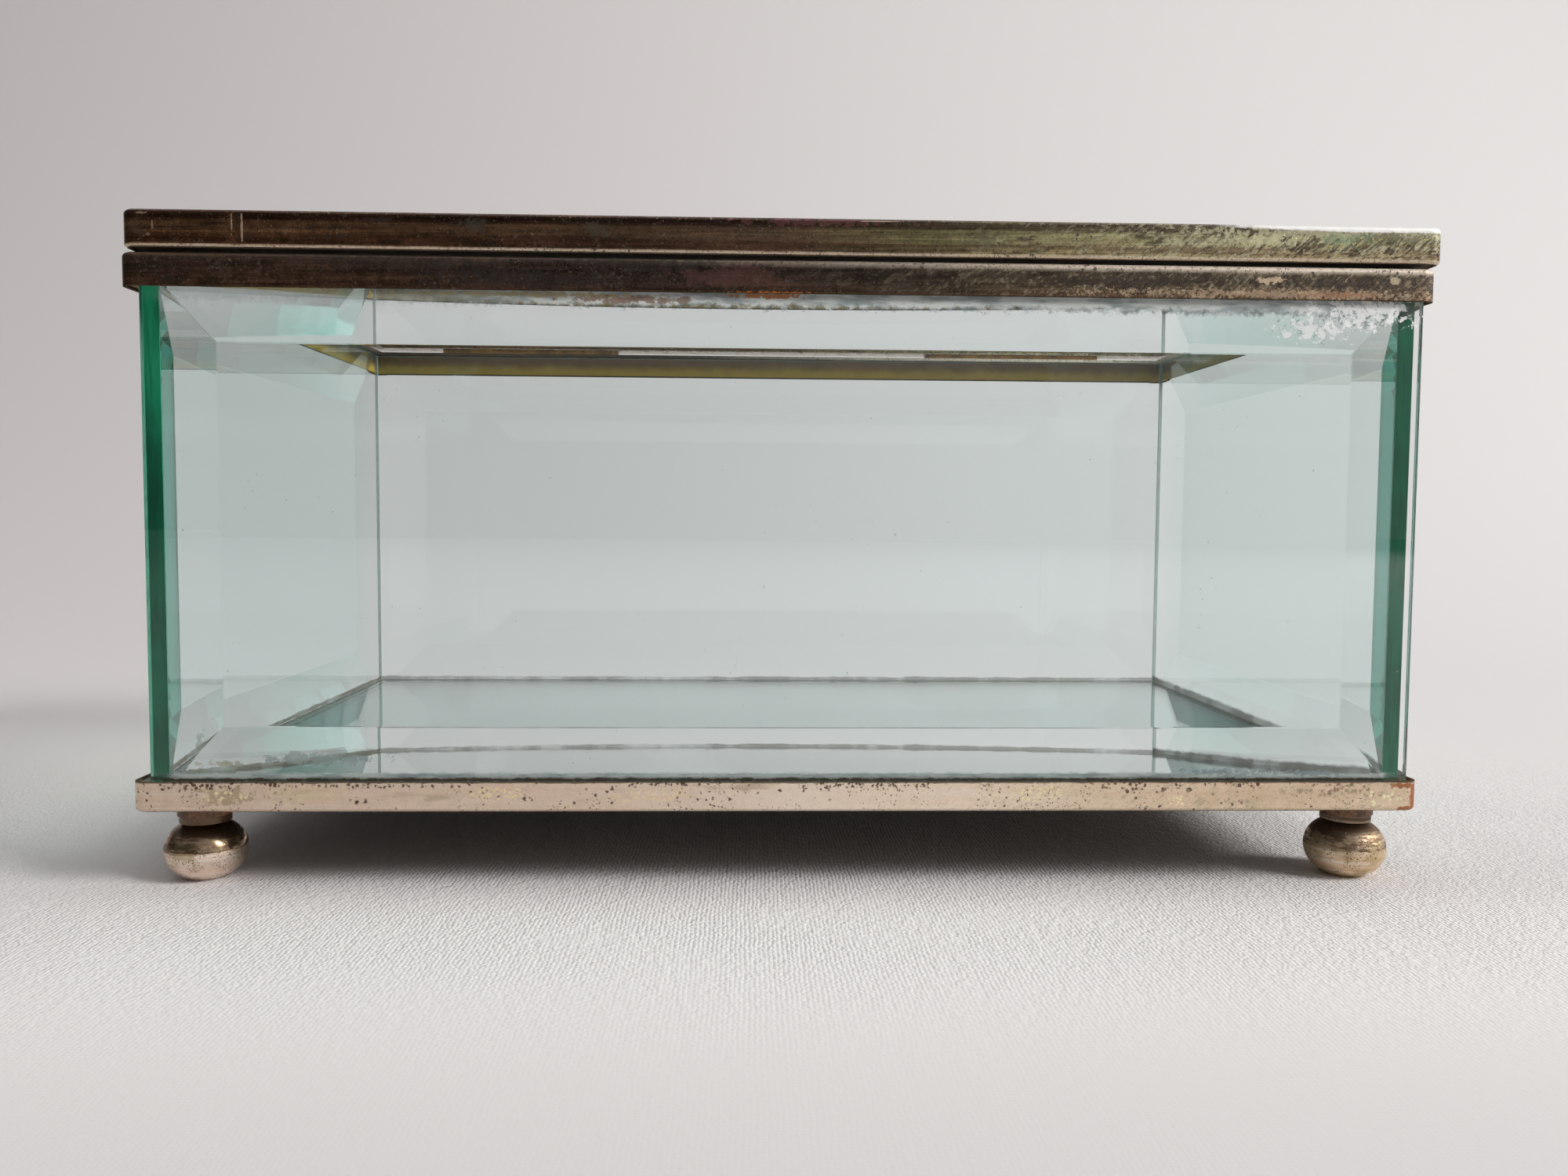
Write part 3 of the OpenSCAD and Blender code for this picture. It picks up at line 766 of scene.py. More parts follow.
@dataclass(frozen=True)
class FrontGlassFinish(GlassFinish):
    """The front pane's glass, with lint, smears and old cement along its edges."""

    name: str = "front plate glass"
    residue: Colour = (0.62, 0.66, 0.64)
    bluish: Colour = (0.3, 0.34, 0.35)
    grime: Colour = (0.07, 0.06, 0.035)
    top_z: float = 72.8
    foot_z: float = 13.5
    haze_z: float = 13.8
    residue_from: Span = (-0.055, -0.02)
    ends: Span = (0.0752, 0.0764)
    smears: tuple[Mark, ...] = (
        Mark(64.5, 69.6, 3.4, 1.3, (0.92, 0.94, 0.93), 0.75, 1.9, 1100.0),
        Mark(71.0, 71.6, 5.0, 1.4, (0.95, 0.96, 0.95), 0.8, 1.9, 1100.0, -46.8),
        Mark(-3.0, 72.95, 5.0, 0.4, (0.42, 0.15, 0.03), 0.9, 0.9, 1300.0, -46.2),
        Mark(-19.0, 72.3, 9.0, 0.55, (0.2, 0.1, 0.06), 0.8, 0.9, 900.0, -46.4),
        Mark(-33.0, 72.8, 15.0, 0.35, (0.42, 0.33, 0.16), 0.8, 1.1, 1300.0, -46.2),
        Mark(-57.5, 16.2, 6.0, 0.8, (0.1, 0.2, 0.19), 0.6, 1.3, 500.0, -46.6),
        Mark(-69.0, 15.6, 2.2, 0.45, (0.36, 0.33, 0.2), 0.7, 1.2, 900.0, -46.5),
        Mark(-71.4, 18.5, 0.4, 1.0, (0.3, 0.31, 0.2), 0.5, 0.9, 900.0, -47.0),
        Mark(56.0, 14.6, 5.0, 0.35, (0.1, 0.18, 0.2), 0.6, 1.6, 1100.0, -46.3),
        Mark(66.0, 14.4, 3.5, 0.3, (0.1, 0.18, 0.2), 0.6, 1.6, 1300.0, -46.3),
        Mark(-6.2, 28.3, 0.08, 0.9, (0.75, 0.8, 0.78), 0.8, 0.3, 900.0, -48.8),
    )

    def film(self, tree: Dressing) -> tuple[Socket, Socket] | None:
        """Lays lint, smears and old cement on the front pane.

        Args:
            tree: the material's nodes.

        Returns:
            The mask and the colour of what lies on the glass.
        """
        lint = tree.mask(Effects.specks, Scale=230.0, Size=0.035, Spread=0.5, Shift=2.0)
        dust = tree.mask(Effects.specks, Scale=700.0, Size=0.07, Spread=0.55, Shift=7.0)
        top = tree.mask(Effects.level, Height=self.top_z * MM, Reach=0.0016, Ragged=0.0008,
                        Scale=700.0)
        haze = tree.mask(Effects.level, Height=self.haze_z * MM, Reach=0.0007, Ragged=0.0002,
                         Scale=500.0)
        foot = tree.mask(Effects.level, Height=self.foot_z * MM, Reach=0.0003, Ragged=0.0002,
                         Scale=900.0)
        drawn = tree.vector("MULTIPLY", tree.where, (0.3, 1.0, 1.4))
        streak = tree.mask(Effects.clouds, Vector=drawn, Scale=620.0, Start=0.42, Full=0.62)
        top = tree.times(top, tree.ramp(tree.x, *self.residue_from, 0.2, 0.92))
        top = tree.most(top, tree.times(haze, 0.65))
        top = tree.times(top, tree.ramp(tree.size(tree.x), *self.ends, 1.0, 0.12))
        mask = tree.most(top, tree.most(lint, tree.times(dust, 0.5)))
        mask = tree.most(mask, tree.times(foot, 0.85))
        colour = tree.blend(streak, self.residue, self.bluish)
        colour = tree.blend(foot, colour, self.grime)
        for smear in self.smears:
            cover = smear.cover(tree)
            mask = tree.most(mask, cover)
            colour = tree.blend(cover, colour, smear.colour)
        return mask, colour


@dataclass(frozen=True)
class MatteFinish:
    """A dull surface with soft patches, such as cement, card or a ground glass edge."""

    name: str
    light: Colour
    dark: Colour
    scale: float = 500.0
    rough: float = 0.7
    bump: float = 0.0001

    def material(self) -> bpy.types.Material:
        """Builds the matte material.

        Returns:
            The material.
        """
        tree = Dressing(self.name)
        patch, raw = tree.patches(self.scale)
        colour = tree.blend(patch, self.dark, self.light)
        rough = tree.ramp(raw, 0.3, 0.7, self.rough - 0.1, self.rough + 0.15)
        bump = tree.bump(raw, 0.5, self.bump)
        return tree.principled({"Base Color": colour, "Roughness": rough, "Normal": bump})


@dataclass(frozen=True)
class GroundEdgeFinish:
    """A ground glass edge: one pair of colours in front, one behind and one at the foot."""

    name: str
    front: tuple[Colour, Colour]
    rear: tuple[Colour, Colour]
    foot: tuple[Colour, Colour]
    foot_z: float = 11.0
    scale: float = 800.0

    def material(self) -> bpy.types.Material:
        """Builds the ground edge's material.

        Returns:
            The material.
        """
        tree = Dressing(self.name)
        patch, raw = tree.patches(self.scale)
        front, rear, foot = (tree.blend(patch, *pair)
                             for pair in (self.front, self.rear, self.foot))
        low = tree.ramp(tree.z, (self.foot_z - 0.3) * MM, self.foot_z * MM, 1.0, 0.0)
        colour = tree.blend(tree.behind(), tree.blend(low, front, foot), rear)
        return tree.principled({"Base Color": colour,
                                "Roughness": tree.ramp(raw, 0.3, 0.7, 0.5, 0.75)})


@dataclass(frozen=True)
class TopCementFinish:
    """The cement under the band: pale in front, and brown with a golden foot behind."""

    name: str = "brown cement"
    pale: tuple[Colour, Colour] = ((0.5, 0.5, 0.42), (0.24, 0.16, 0.08))
    foot: Colour = (0.66, 0.38, 0.035)
    head: Colour = (0.24, 0.085, 0.0)
    foot_z: float = 73.5
    head_z: float = 76.4
    scale: float = 300.0

    def material(self) -> bpy.types.Material:
        """Builds the cement's material.

        Returns:
            The material.
        """
        tree = Dressing(self.name)
        patch, raw = tree.patches(self.scale)
        rise = tree.plus(tree.ramp(tree.z, self.foot_z * MM, self.head_z * MM),
                         tree.times(tree.less(raw, 0.5), 0.9))
        colour = tree.blend(tree.behind(), tree.blend(patch, *self.pale),
                            tree.blend(tree.ramp(rise, 0.0, 1.0), self.foot, self.head))
        return tree.principled({"Base Color": colour, "Normal": tree.bump(raw, 0.5, 0.0001),
                                "Roughness": tree.ramp(raw, 0.3, 0.7, 0.5, 0.75)})


@dataclass(frozen=True)
class FilmFinish:
    """The corner films: deep green in front, paler behind, with streaks along their height, and
    painted light towards the top: a lighter green and an emitted glow, stronger on the left.
    """

    name: str = "corner film"
    front: Colour = (0.035, 0.56, 0.33)
    deep: Colour = (0.018, 0.3, 0.17)
    # Painted light: the lighter green towards the top.
    painted_lit_colour: Colour = (0.045, 0.48, 0.28)
    behind: Colour = (0.45, 0.52, 0.48)
    lit_rise: Span = (0.05, 0.072)
    middle: Span = (-0.01, 0.01)

    def material(self) -> bpy.types.Material:
        """Builds the film's material.

        Returns:
            The material.
        """
        tree = Dressing(self.name)
        drawn = tree.vector("MULTIPLY", tree.where, (1.0, 1.0, 0.12))
        patch = tree.place(Effects.clouds, Vector=drawn, Scale=600.0, Start=0.4, Full=0.62)
        broad = tree.mask(Effects.clouds, Scale=45.0, Start=0.4, Full=0.6)
        mask = tree.times(tree.plus(patch.outputs["Mask"], broad), 0.5)
        green = tree.blend(mask, self.front, self.deep)
        # Painted light: a lighter green towards the top.
        lift = tree.ramp(tree.z, *self.lit_rise, 0.0, 0.7)
        green = tree.blend(lift, green, tree.blend(mask, self.painted_lit_colour, self.deep))
        back = tree.ramp(tree.y, 0.0, 0.01)
        left = tree.ramp(tree.x, *self.middle, 1.0, 0.25)
        # Painted light: an emitted glow towards the top, stronger at the left, where the band
        # shades the film.
        glow = tree.times(tree.times(lift, left), tree.less(0.22, tree.times(mask, 0.18)))
        return tree.principled({"Base Color": tree.blend(back, green, self.behind),
                                "Roughness": tree.ramp(patch.outputs["Raw"], 0.3, 0.7, 0.4, 0.7),
                                "Emission Color": green, "Emission Strength": glow})


@dataclass(frozen=True)
class SilverFinish:
    """The silvering behind the mirror's glass, with a few foxed spots."""

    name: str = "silvering"
    silver: Colour = (0.86, 0.88, 0.87)
    foxed: Colour = (0.2, 0.18, 0.14)

    def material(self) -> bpy.types.Material:
        """Builds the silvering's material.

        Returns:
            The material.
        """
        tree = Dressing(self.name)
        spots = tree.mask(Effects.specks, Scale=500.0, Size=0.12, Spread=0.6, Shift=4.0)
        haze = tree.raw(Effects.clouds, Scale=60.0, Start=0.5, Full=0.75)
        colour = tree.blend(spots, self.silver, self.foxed)
        rough = tree.ramp(haze, 0.4, 0.7, 0.02, 0.05)
        return tree.principled({"Base Color": colour, "Metallic": 1.0, "Roughness": rough})


@dataclass(frozen=True)
class FootFinish:
    """Turned, plated feet: polished brown above the turned line, pale and pitted below; the split
    is partly a painted reflection of the dark room above and the pale cloth below.
    """

    name: str = "foot plate"
    above: Colour = (0.39, 0.275, 0.195)
    below: Colour = (0.9, 0.75, 0.64)
    right_above: Colour = (0.52, 0.395, 0.28)
    right: Colour = (0.82, 0.66, 0.49)
    ring: Colour = (0.24, 0.11, 0.045)
    right_ring: Colour = (0.5, 0.36, 0.25)
    grime: Colour = (0.13, 0.08, 0.045)
    pit: Colour = (0.09, 0.06, 0.04)
    tan: Colour = (0.5, 0.39, 0.22)
    line_z: float = 0.004
    ring_z: float = 0.0071
    grime_rise: Span = (0.0068, 0.0074)
    middle: Span = (-0.01, 0.01)

    def material(self) -> bpy.types.Material:
        """Builds the feet's material.

        Returns:
            The material.
        """
        tree = Dressing(self.name)
        upper = tree.step(tree.z, self.line_z, 0.00005)
        top = tree.step(tree.z, self.ring_z, 0.0001)
        aside = tree.ramp(tree.x, *self.middle)
        # Partly painted reflection: dark above the line and pale below it, as the room and the
        # cloth would show in the polished ball.
        colour = tree.blend(upper, tree.blend(aside, self.below, self.right),
                            tree.blend(aside, self.above, self.right_above))
        turned = tree.vector("MULTIPLY", tree.where, (60.0, 60.0, 5200.0))
        turning = tree.noise(turned, 1.0, 3.0)
        colour = tree.blend(0.5, colour, tree.stops(turning, TURNED), "OVERLAY")
        stain = tree.mask(Effects.clouds, Scale=350.0, Start=0.45, Full=0.62)
        colour = tree.blend(tree.times(stain, 0.6), colour, self.tan)
        streaked = tree.vector("MULTIPLY", tree.where, (1.0, 1.0, 3.0))
        grime = tree.mask(Effects.clouds, Vector=streaked, Scale=450.0, Shift=5.0, Start=0.48,
                          Full=0.56)
        grime = tree.most(tree.times(grime, upper),
                          tree.ramp(tree.plus(tree.z, tree.times(turning, 0.002)),
                                    *self.grime_rise))
        colour = tree.blend(tree.times(grime, 0.8), colour, self.grime)
        ring = tree.blend(aside, self.ring, self.right_ring)
        ring = tree.blend(tree.ramp(turning, 0.35, 0.52), ring, self.grime)
        colour = tree.blend(top, colour, ring)
        pits = tree.mask(Effects.specks, Scale=3800.0, Size=0.4, Spread=0.47, Shift=1.0)
        colour = tree.blend(tree.times(pits, 0.85), colour, self.pit)
        stain = tree.most(stain, grime)
        polish = tree.step(tree.z, self.line_z, 0.0001, 0.3, 0.08)
        rough = tree.plus(tree.plus(polish, tree.times(aside, 0.3)),
                          tree.times(tree.most(pits, stain), 0.18))
        bump = tree.bump(pits, 0.5, -0.00008)
        return tree.principled({"Base Color": colour, "Roughness": rough, "Normal": bump,
                                "Metallic": tree.less(0.92, tree.times(top, 0.5))})


@dataclass(frozen=True)
class ClothFinish:
    """The pale cloth that the casket stands on, with its weave, painted light that is brighter at
    the right, and a painted pool of light just in front of the casket.
    """

    name: str = "pale cloth"
    # Painted light: the cloth is lighter at the right than at the left.
    right: Colour = (0.77, 0.755, 0.755)
    left: Colour = (0.755, 0.73, 0.73)
    # Painted light: the brighter colour of the pool of light in front of the casket.
    painted_lit_colour: Colour = (0.86, 0.84, 0.835)
    pitch: float = 0.0005
    sides: Span = (-0.35, 0.3)
    # Where the painted pool of light lies, in metres.
    front_light_pool_near: Span = (-0.12, -0.075)
    front_light_pool_far: Span = (-0.06, -0.045)
    front_light_pool_side: Span = (-0.11, -0.06)
    weave_near: Span = (-0.1, -0.06)
    weave_far: Span = (-0.02, 0.05)

    def material(self) -> bpy.types.Material:
        """Builds the cloth's material.

        Returns:
            The material.
        """
        tree = Dressing(self.name)
        # Painted light: lighter towards the right.
        side = tree.ramp(tree.x, *self.sides)
        colour = tree.blend(side, self.left, self.right)
        # Painted light: a pool of light on the cloth just in front of the casket.
        front_light_pool = tree.times(tree.ramp(tree.y, *self.front_light_pool_near),
                           tree.ramp(tree.y, *self.front_light_pool_far, 1.0, 0.0))
        front_light_pool = tree.times(front_light_pool, tree.ramp(tree.x, *self.front_light_pool_side))
        colour = tree.blend(front_light_pool, colour, self.painted_lit_colour)
        bent = tree.stirred(tree.where, 60.0, self.pitch * 2.0)
        crowns = tree.put("TexVoronoi", {"Vector": bent, "Scale": 1.0 / self.pitch,
                                         "Randomness": 0.45})
        slub = tree.noise(tree.where, 700.0, 2.0)
        height = tree.plus(tree.times(crowns.outputs["Distance"], -0.8), slub)
        near = tree.ramp(tree.y, *self.weave_near, 0.06, 0.8)
        far = tree.ramp(tree.y, *self.weave_far, 1.0, 0.05)
        bump = tree.bump(height, tree.times(near, far), 0.0003)
        return tree.principled({"Base Color": colour, "Roughness": 0.9, "Normal": bump})


# ---------------------------------------------------------------- meshes


def move(shape: bmesh.types.BMesh, x: float, y: float, z: float) -> None:
    """Moves a bmesh."""
    bmesh.ops.translate(shape, verts=shape.verts, vec=(x, y, z))


def stretch(shape: bmesh.types.BMesh, x: float, y: float, z: float) -> None:
    """Scales a bmesh along each axis."""
    bmesh.ops.scale(shape, verts=shape.verts, vec=(x, y, z))


def turn(shape: bmesh.types.BMesh, degrees: float, axis: str) -> None:
    """Turns a bmesh about an axis through the origin."""
    bmesh.ops.rotate(shape, verts=shape.verts, cent=(0, 0, 0),
                     matrix=Matrix.Rotation(math.radians(degrees), 3, axis))


def soften(shape: bmesh.types.BMesh, reach: float) -> None:
    """Rounds off every edge of a bmesh."""
    bmesh.ops.bevel(shape, geom=list(shape.edges), offset=reach, segments=2, profile=0.5,
                    affect="EDGES", material=-1)


def block(size: Point, centre: Point) -> bmesh.types.BMesh:
    """Makes a plain block.

    Args:
        size: how long it is along each axis.
        centre: where its middle is.

    Returns:
        The block's bmesh.
    """
    shape = bmesh.new()
    bmesh.ops.create_cube(shape, size=1.0)
    stretch(shape, *size)
    move(shape, *centre)
    return shape


def to_object(shape: bmesh.types.BMesh, name: str,
              materials: Sequence[bpy.types.Material]) -> bpy.types.Object:
    """Turns a bmesh into an object at the origin.

    Args:
        shape: the bmesh, which is freed.
        name: the object's name.
        materials: its material slots.

    Returns:
        The new object.
    """
    mesh = bpy.data.meshes.new(name)
    shape.to_mesh(mesh)
    shape.free()
    for material in materials:
        mesh.materials.append(material)
    made = bpy.data.objects.new(name, mesh)
    bpy.context.scene.collection.objects.link(made)
    return made


def paint(node: str, *materials: bpy.types.Material) -> None:
    """Gives a CAD node its materials.

    Args:
        node: the node's name.
        *materials: its material slots, in order.
    """
    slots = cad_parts[node].data.materials
    slots.clear()
    for material in materials:
        slots.append(material)


@dataclass
class BevelledPane:
    """A plate with a ground bevel all round its outer face and softened arrises."""

    width: float
    height: float
    thick: float = 5.0
    bevel: float = 10.3
    drop: float = 2.8
    arris: float = 0.12
    air: float = 0.01
    clear_end: bool = False

    def mesh(self, ends: float = 0.0) -> bmesh.types.BMesh:
        """Builds the pane upright, its inner face on y = 0 and its bevels facing -Y.

        Args:
            ends: how far each end stays back from the full width.

        Returns:
            The pane's bmesh, in metres, with the thin edges in material slot 1.
        """
        edge = self.thick - self.drop
        shape = block((self.width - 2 * ends, edge, self.height - 2 * self.air),
                      (0, -edge / 2, self.height / 2))
        shape.normal_update()
        outer = min(shape.faces, key=lambda face: face.normal.y)
        bmesh.ops.inset_region(shape, faces=[outer], thickness=self.bevel, depth=0.0,
                               use_even_offset=True)
        bmesh.ops.translate(shape, verts=outer.verts, vec=(0, -self.drop, 0))
        shape.normal_update()
        for face in shape.faces:
            across = face.normal.x if self.clear_end else -abs(face.normal.x)
            face.material_index = int(across < -FACING or abs(face.normal.z) > FACING)
        soften(shape, self.arris)
        stretch(shape, MM, MM, MM)
        bmesh.ops.recalc_face_normals(shape, faces=shape.faces)
        return shape


# ---------------------------------------------------------------- sub-assemblies


@dataclass
class Feet:
    """The four turned feet and their collars."""

    corners: tuple[str, ...] = ("front_left", "front_right", "back_left", "back_right")
    foot: FootFinish = field(default_factory=FootFinish)

    def dress(self) -> None:
        """Gives the feet and collars their finishes."""
        plate = self.foot.material()
        rust = MatteFinish("rusted collar", (0.3, 0.14, 0.06), (0.1, 0.045, 0.025), 900.0,
                           0.45).material()
        for corner in self.corners:
            paint(f"foot_{corner}", plate)
            paint(f"collar_{corner}", rust)
            LOG.info("foot %s", corner)


@dataclass
class Base:
    """The tray, and the card and mirror that lie in it."""

    length: float = 151.6
    depth: float = 86.6
    mirror_z: float = 11.0
    mirror_t: float = 3.1
    arris: float = 0.15
    air: float = 0.01
    # The tray's tone is partly painted reflection of the pale cloth in front; its profile darkens
    # the bottom, and the dark line along its top edge is a painted shadow line.
    tray: PlateFinish = PlateFinish(
        name="tray plate",
        along=((0.0, (0.7, 0.55, 0.43)), (0.3, (0.76, 0.6, 0.48)), (0.5, (0.86, 0.72, 0.6)),
               (0.7, (0.88, 0.73, 0.58)), (0.85, (0.78, 0.63, 0.47)), (1.0, (0.74, 0.58, 0.42))),
        profile=((0.0, (0.8, 0.8, 0.8)), (0.15, (1.0, 1.0, 1.0)), (1.0, (1.0, 1.0, 1.0))),
        low_z=9.6, high_z=13.4, crust=(0.5, 0.42, 0.28), crust_start=0.6, crust_from=0.0,
        stain=(0.52, 0.42, 0.3), stain_start=0.58, rust=(0.05, 0.02, 0.008), rust_spread=0.53,
        rough=(0.2, 0.32), bottom_edge_wear_and_painted_light=(0.3, 0.26, 0.22), low_reach=0.18,
        top_edge_wear_and_painted_light=(0.06, 0.04, 0.02), high_reach=0.22, glow=(0.6, 0.85), scratch=0.1,
        brushed=0.15, dots=((800.0, 0.2, 0.05), (1500.0, 0.28, 0.03), (2600.0, 0.28, 0.0)),
        marks=(
            Mark(-72.0, 13.0, 6.0, 0.7, (0.06, 0.022, 0.008), 0.95, 0.9, 900.0, speckled=2000.0),
            Mark(-62.5, 13.1, 3.0, 0.5, (0.07, 0.025, 0.01), 0.95, 0.9, 900.0, speckled=2100.0),
            Mark(-51.0, 13.0, 8.0, 0.35, (0.05, 0.025, 0.01), 0.9, 1.2, 900.0, speckled=2300.0),
            Mark(-16.5, 13.1, 7.0, 0.35, (0.05, 0.025, 0.01), 0.9, 1.2, 900.0, speckled=2300.0),
            Mark(9.0, 13.0, 8.0, 0.4, (0.06, 0.03, 0.012), 0.9, 1.2, 900.0, speckled=2300.0),
            Mark(43.0, 13.0, 5.0, 0.8, (0.09, 0.035, 0.012), 0.9, 1.1, 900.0, speckled=1900.0),
            Mark(57.5, 13.0, 2.5, 0.5, (0.09, 0.035, 0.012), 0.9, 1.1, 900.0, speckled=2100.0),
            Mark(70.0, 12.3, 6.0, 0.9, (0.12, 0.06, 0.025), 0.7, 1.1, 900.0, speckled=1700.0),
            Mark(-52.2, 11.1, 1.6, 0.55, (0.05, 0.02, 0.01), 0.95, 0.4, 900.0, speckled=1500.0),
            Mark(-32.0, 11.2, 0.8, 0.45, (0.05, 0.02, 0.01), 0.9, 0.4, 900.0, speckled=1700.0),
            Mark(50.5, 12.4, 0.45, 0.35, (0.04, 0.02, 0.012), 0.9, 0.5, 2000.0),
            Mark(-68.5, 11.6, 3.6, 1.1, (0.33, 0.25, 0.13), 0.6, 1.1, 1500.0),
            Mark(-69.0, 11.7, 2.6, 0.9, (0.95, 0.85, 0.5), 0.7, 0.8, 900.0, speckled=1900.0),
            Mark(-59.0, 11.9, 4.5, 0.9, (0.75, 0.6, 0.36), 0.35, 1.0, 900.0),
            Mark(-35.5, 11.9, 3.6, 1.0, (0.95, 0.8, 0.42), 0.65, 0.9, 900.0, speckled=2300.0),
            Mark(-17.0, 11.8, 5.0, 1.0, (0.95, 0.8, 0.42), 0.5, 0.9, 900.0, speckled=2300.0),
            Mark(31.0, 12.0, 4.0, 1.1, (1.0, 0.86, 0.5), 0.8, 0.9, 900.0, speckled=2100.0),
            Mark(49.0, 11.0, 1.3, 0.7, (1.0, 0.88, 0.52), 0.85, 0.7, 900.0, speckled=2300.0),
            Mark(62.0, 11.6, 12.0, 1.5, (0.62, 0.5, 0.33), 0.4, 1.1, 500.0),
            Mark(74.5, 11.5, 3.0, 1.0, (1.0, 0.92, 0.6), 0.85, 0.9, 900.0, speckled=1700.0),
            Mark(79.9, 11.4, 1.5, 3.4, (0.35, 0.1, 0.02), 0.95, 0.3, 900.0, -46.5),
            Mark(77.8, 12.9, 2.0, 0.4, (0.32, 0.1, 0.02), 0.9, 0.9, 1500.0),
            Mark(78.4, 9.9, 1.6, 0.35, (0.35, 0.11, 0.025), 0.9, 0.7, 1500.0),
        ))

    def build(self, silver: bpy.types.Material) -> None:
        """Makes the mirror and gives the tray and card their finishes.

        Args:
            silver: the silvering, seen from under the mirror too.
        """
        paint("base_tray", self.tray.material())
        paint("floor_card", MatteFinish("grey card", (0.2, 0.18, 0.15), (0.14, 0.12, 0.1), 300.0,
                                        0.85).material())
        paint("mirror_silvering", silver)
        edge = GroundEdgeFinish("mirror ground edge", ((0.42, 0.47, 0.46), (0.58, 0.64, 0.64)),
                                ((0.1, 0.11, 0.08), (0.2, 0.22, 0.17)),
                                ((0.42, 0.47, 0.46), (0.58, 0.64, 0.64))).material()
        shape = block((self.length * MM, self.depth * MM, (self.mirror_t - self.air) * MM),
                      (0, 0, (self.mirror_z + self.air + self.mirror_t / 2) * MM))
        for face in shape.faces:
            face.material_index = 0 if face.normal.z > FACING else 1
            if face.normal.z < -FACING:
                face.material_index = 2
        soften(shape, self.arris * MM)
        mirror = to_object(shape, "floor_mirror_glass",
                           (MirrorGlassFinish().material(), edge, silver))
        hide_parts("floor_mirror")
        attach(mirror, "casket")
        LOG.info("mirror")


@dataclass
class Walls:
    """The four bevelled panes with the cement that holds them."""

    length: float = 156.6
    depth: float = 91.6
    side: float = 86.8
    over: float = 0.8
    bottom: float = 10.1
    height: float = 66.6
    edge: float = 2.2
    cement: MatteFinish = MatteFinish("old cement", (0.42, 0.45, 0.37), (0.24, 0.26, 0.2), 420.0,
                                      0.8)

    def build(self, front: bpy.types.Material, ground: bpy.types.Material) -> None:
        """Builds the panes on their four sides and dresses the cement.

        Args:
            front: the front pane's glass.
            ground: the ground edges of the front and back panes.
        """
        across = WallGlassFinish("side plate glass", tint=(0.0, 0.63, 0.53), density=27.0,
                                 right_reach=0.0006, cover=(0.65, 0.85)).material()
        rear = WallGlassFinish("back plate glass").material()
        ends = GroundEdgeFinish("side ground edge", ((0.1, 0.42, 0.3), (0.06, 0.3, 0.2)),
                                ((0.4, 0.46, 0.45), (0.3, 0.36, 0.34)),
                                ((0.2, 0.6, 0.44), (0.12, 0.46, 0.32))).material()
        for side in Side:
            long = side in (Side.FRONT, Side.BACK)
            over = self.over if side is Side.FRONT else 0.0
            pane = BevelledPane(self.length + over if long else self.side, self.height,
                                clear_end=side is Side.FRONT)
            shape = pane.mesh(0.0 if long else pane.air)
            reach = ((self.depth if long else self.length) / 2 - self.edge) * MM
            move(shape, over / 2 * MM, -reach, self.bottom * MM)
            turn(shape, side.value, "Z")
            name = side.name.lower()
            face = front if side is Side.FRONT else rear if long else across
            made = to_object(shape, f"{name}_pane_glass", (face, ground if long else ends))
            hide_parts(f"{name}_pane")
            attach(made, "casket")
            LOG.info("%s pane", name)
        paint("lower_cement", self.cement.material())
        paint("upper_cement", TopCementFinish().material())
        paint("corner_cement", FilmFinish().material())


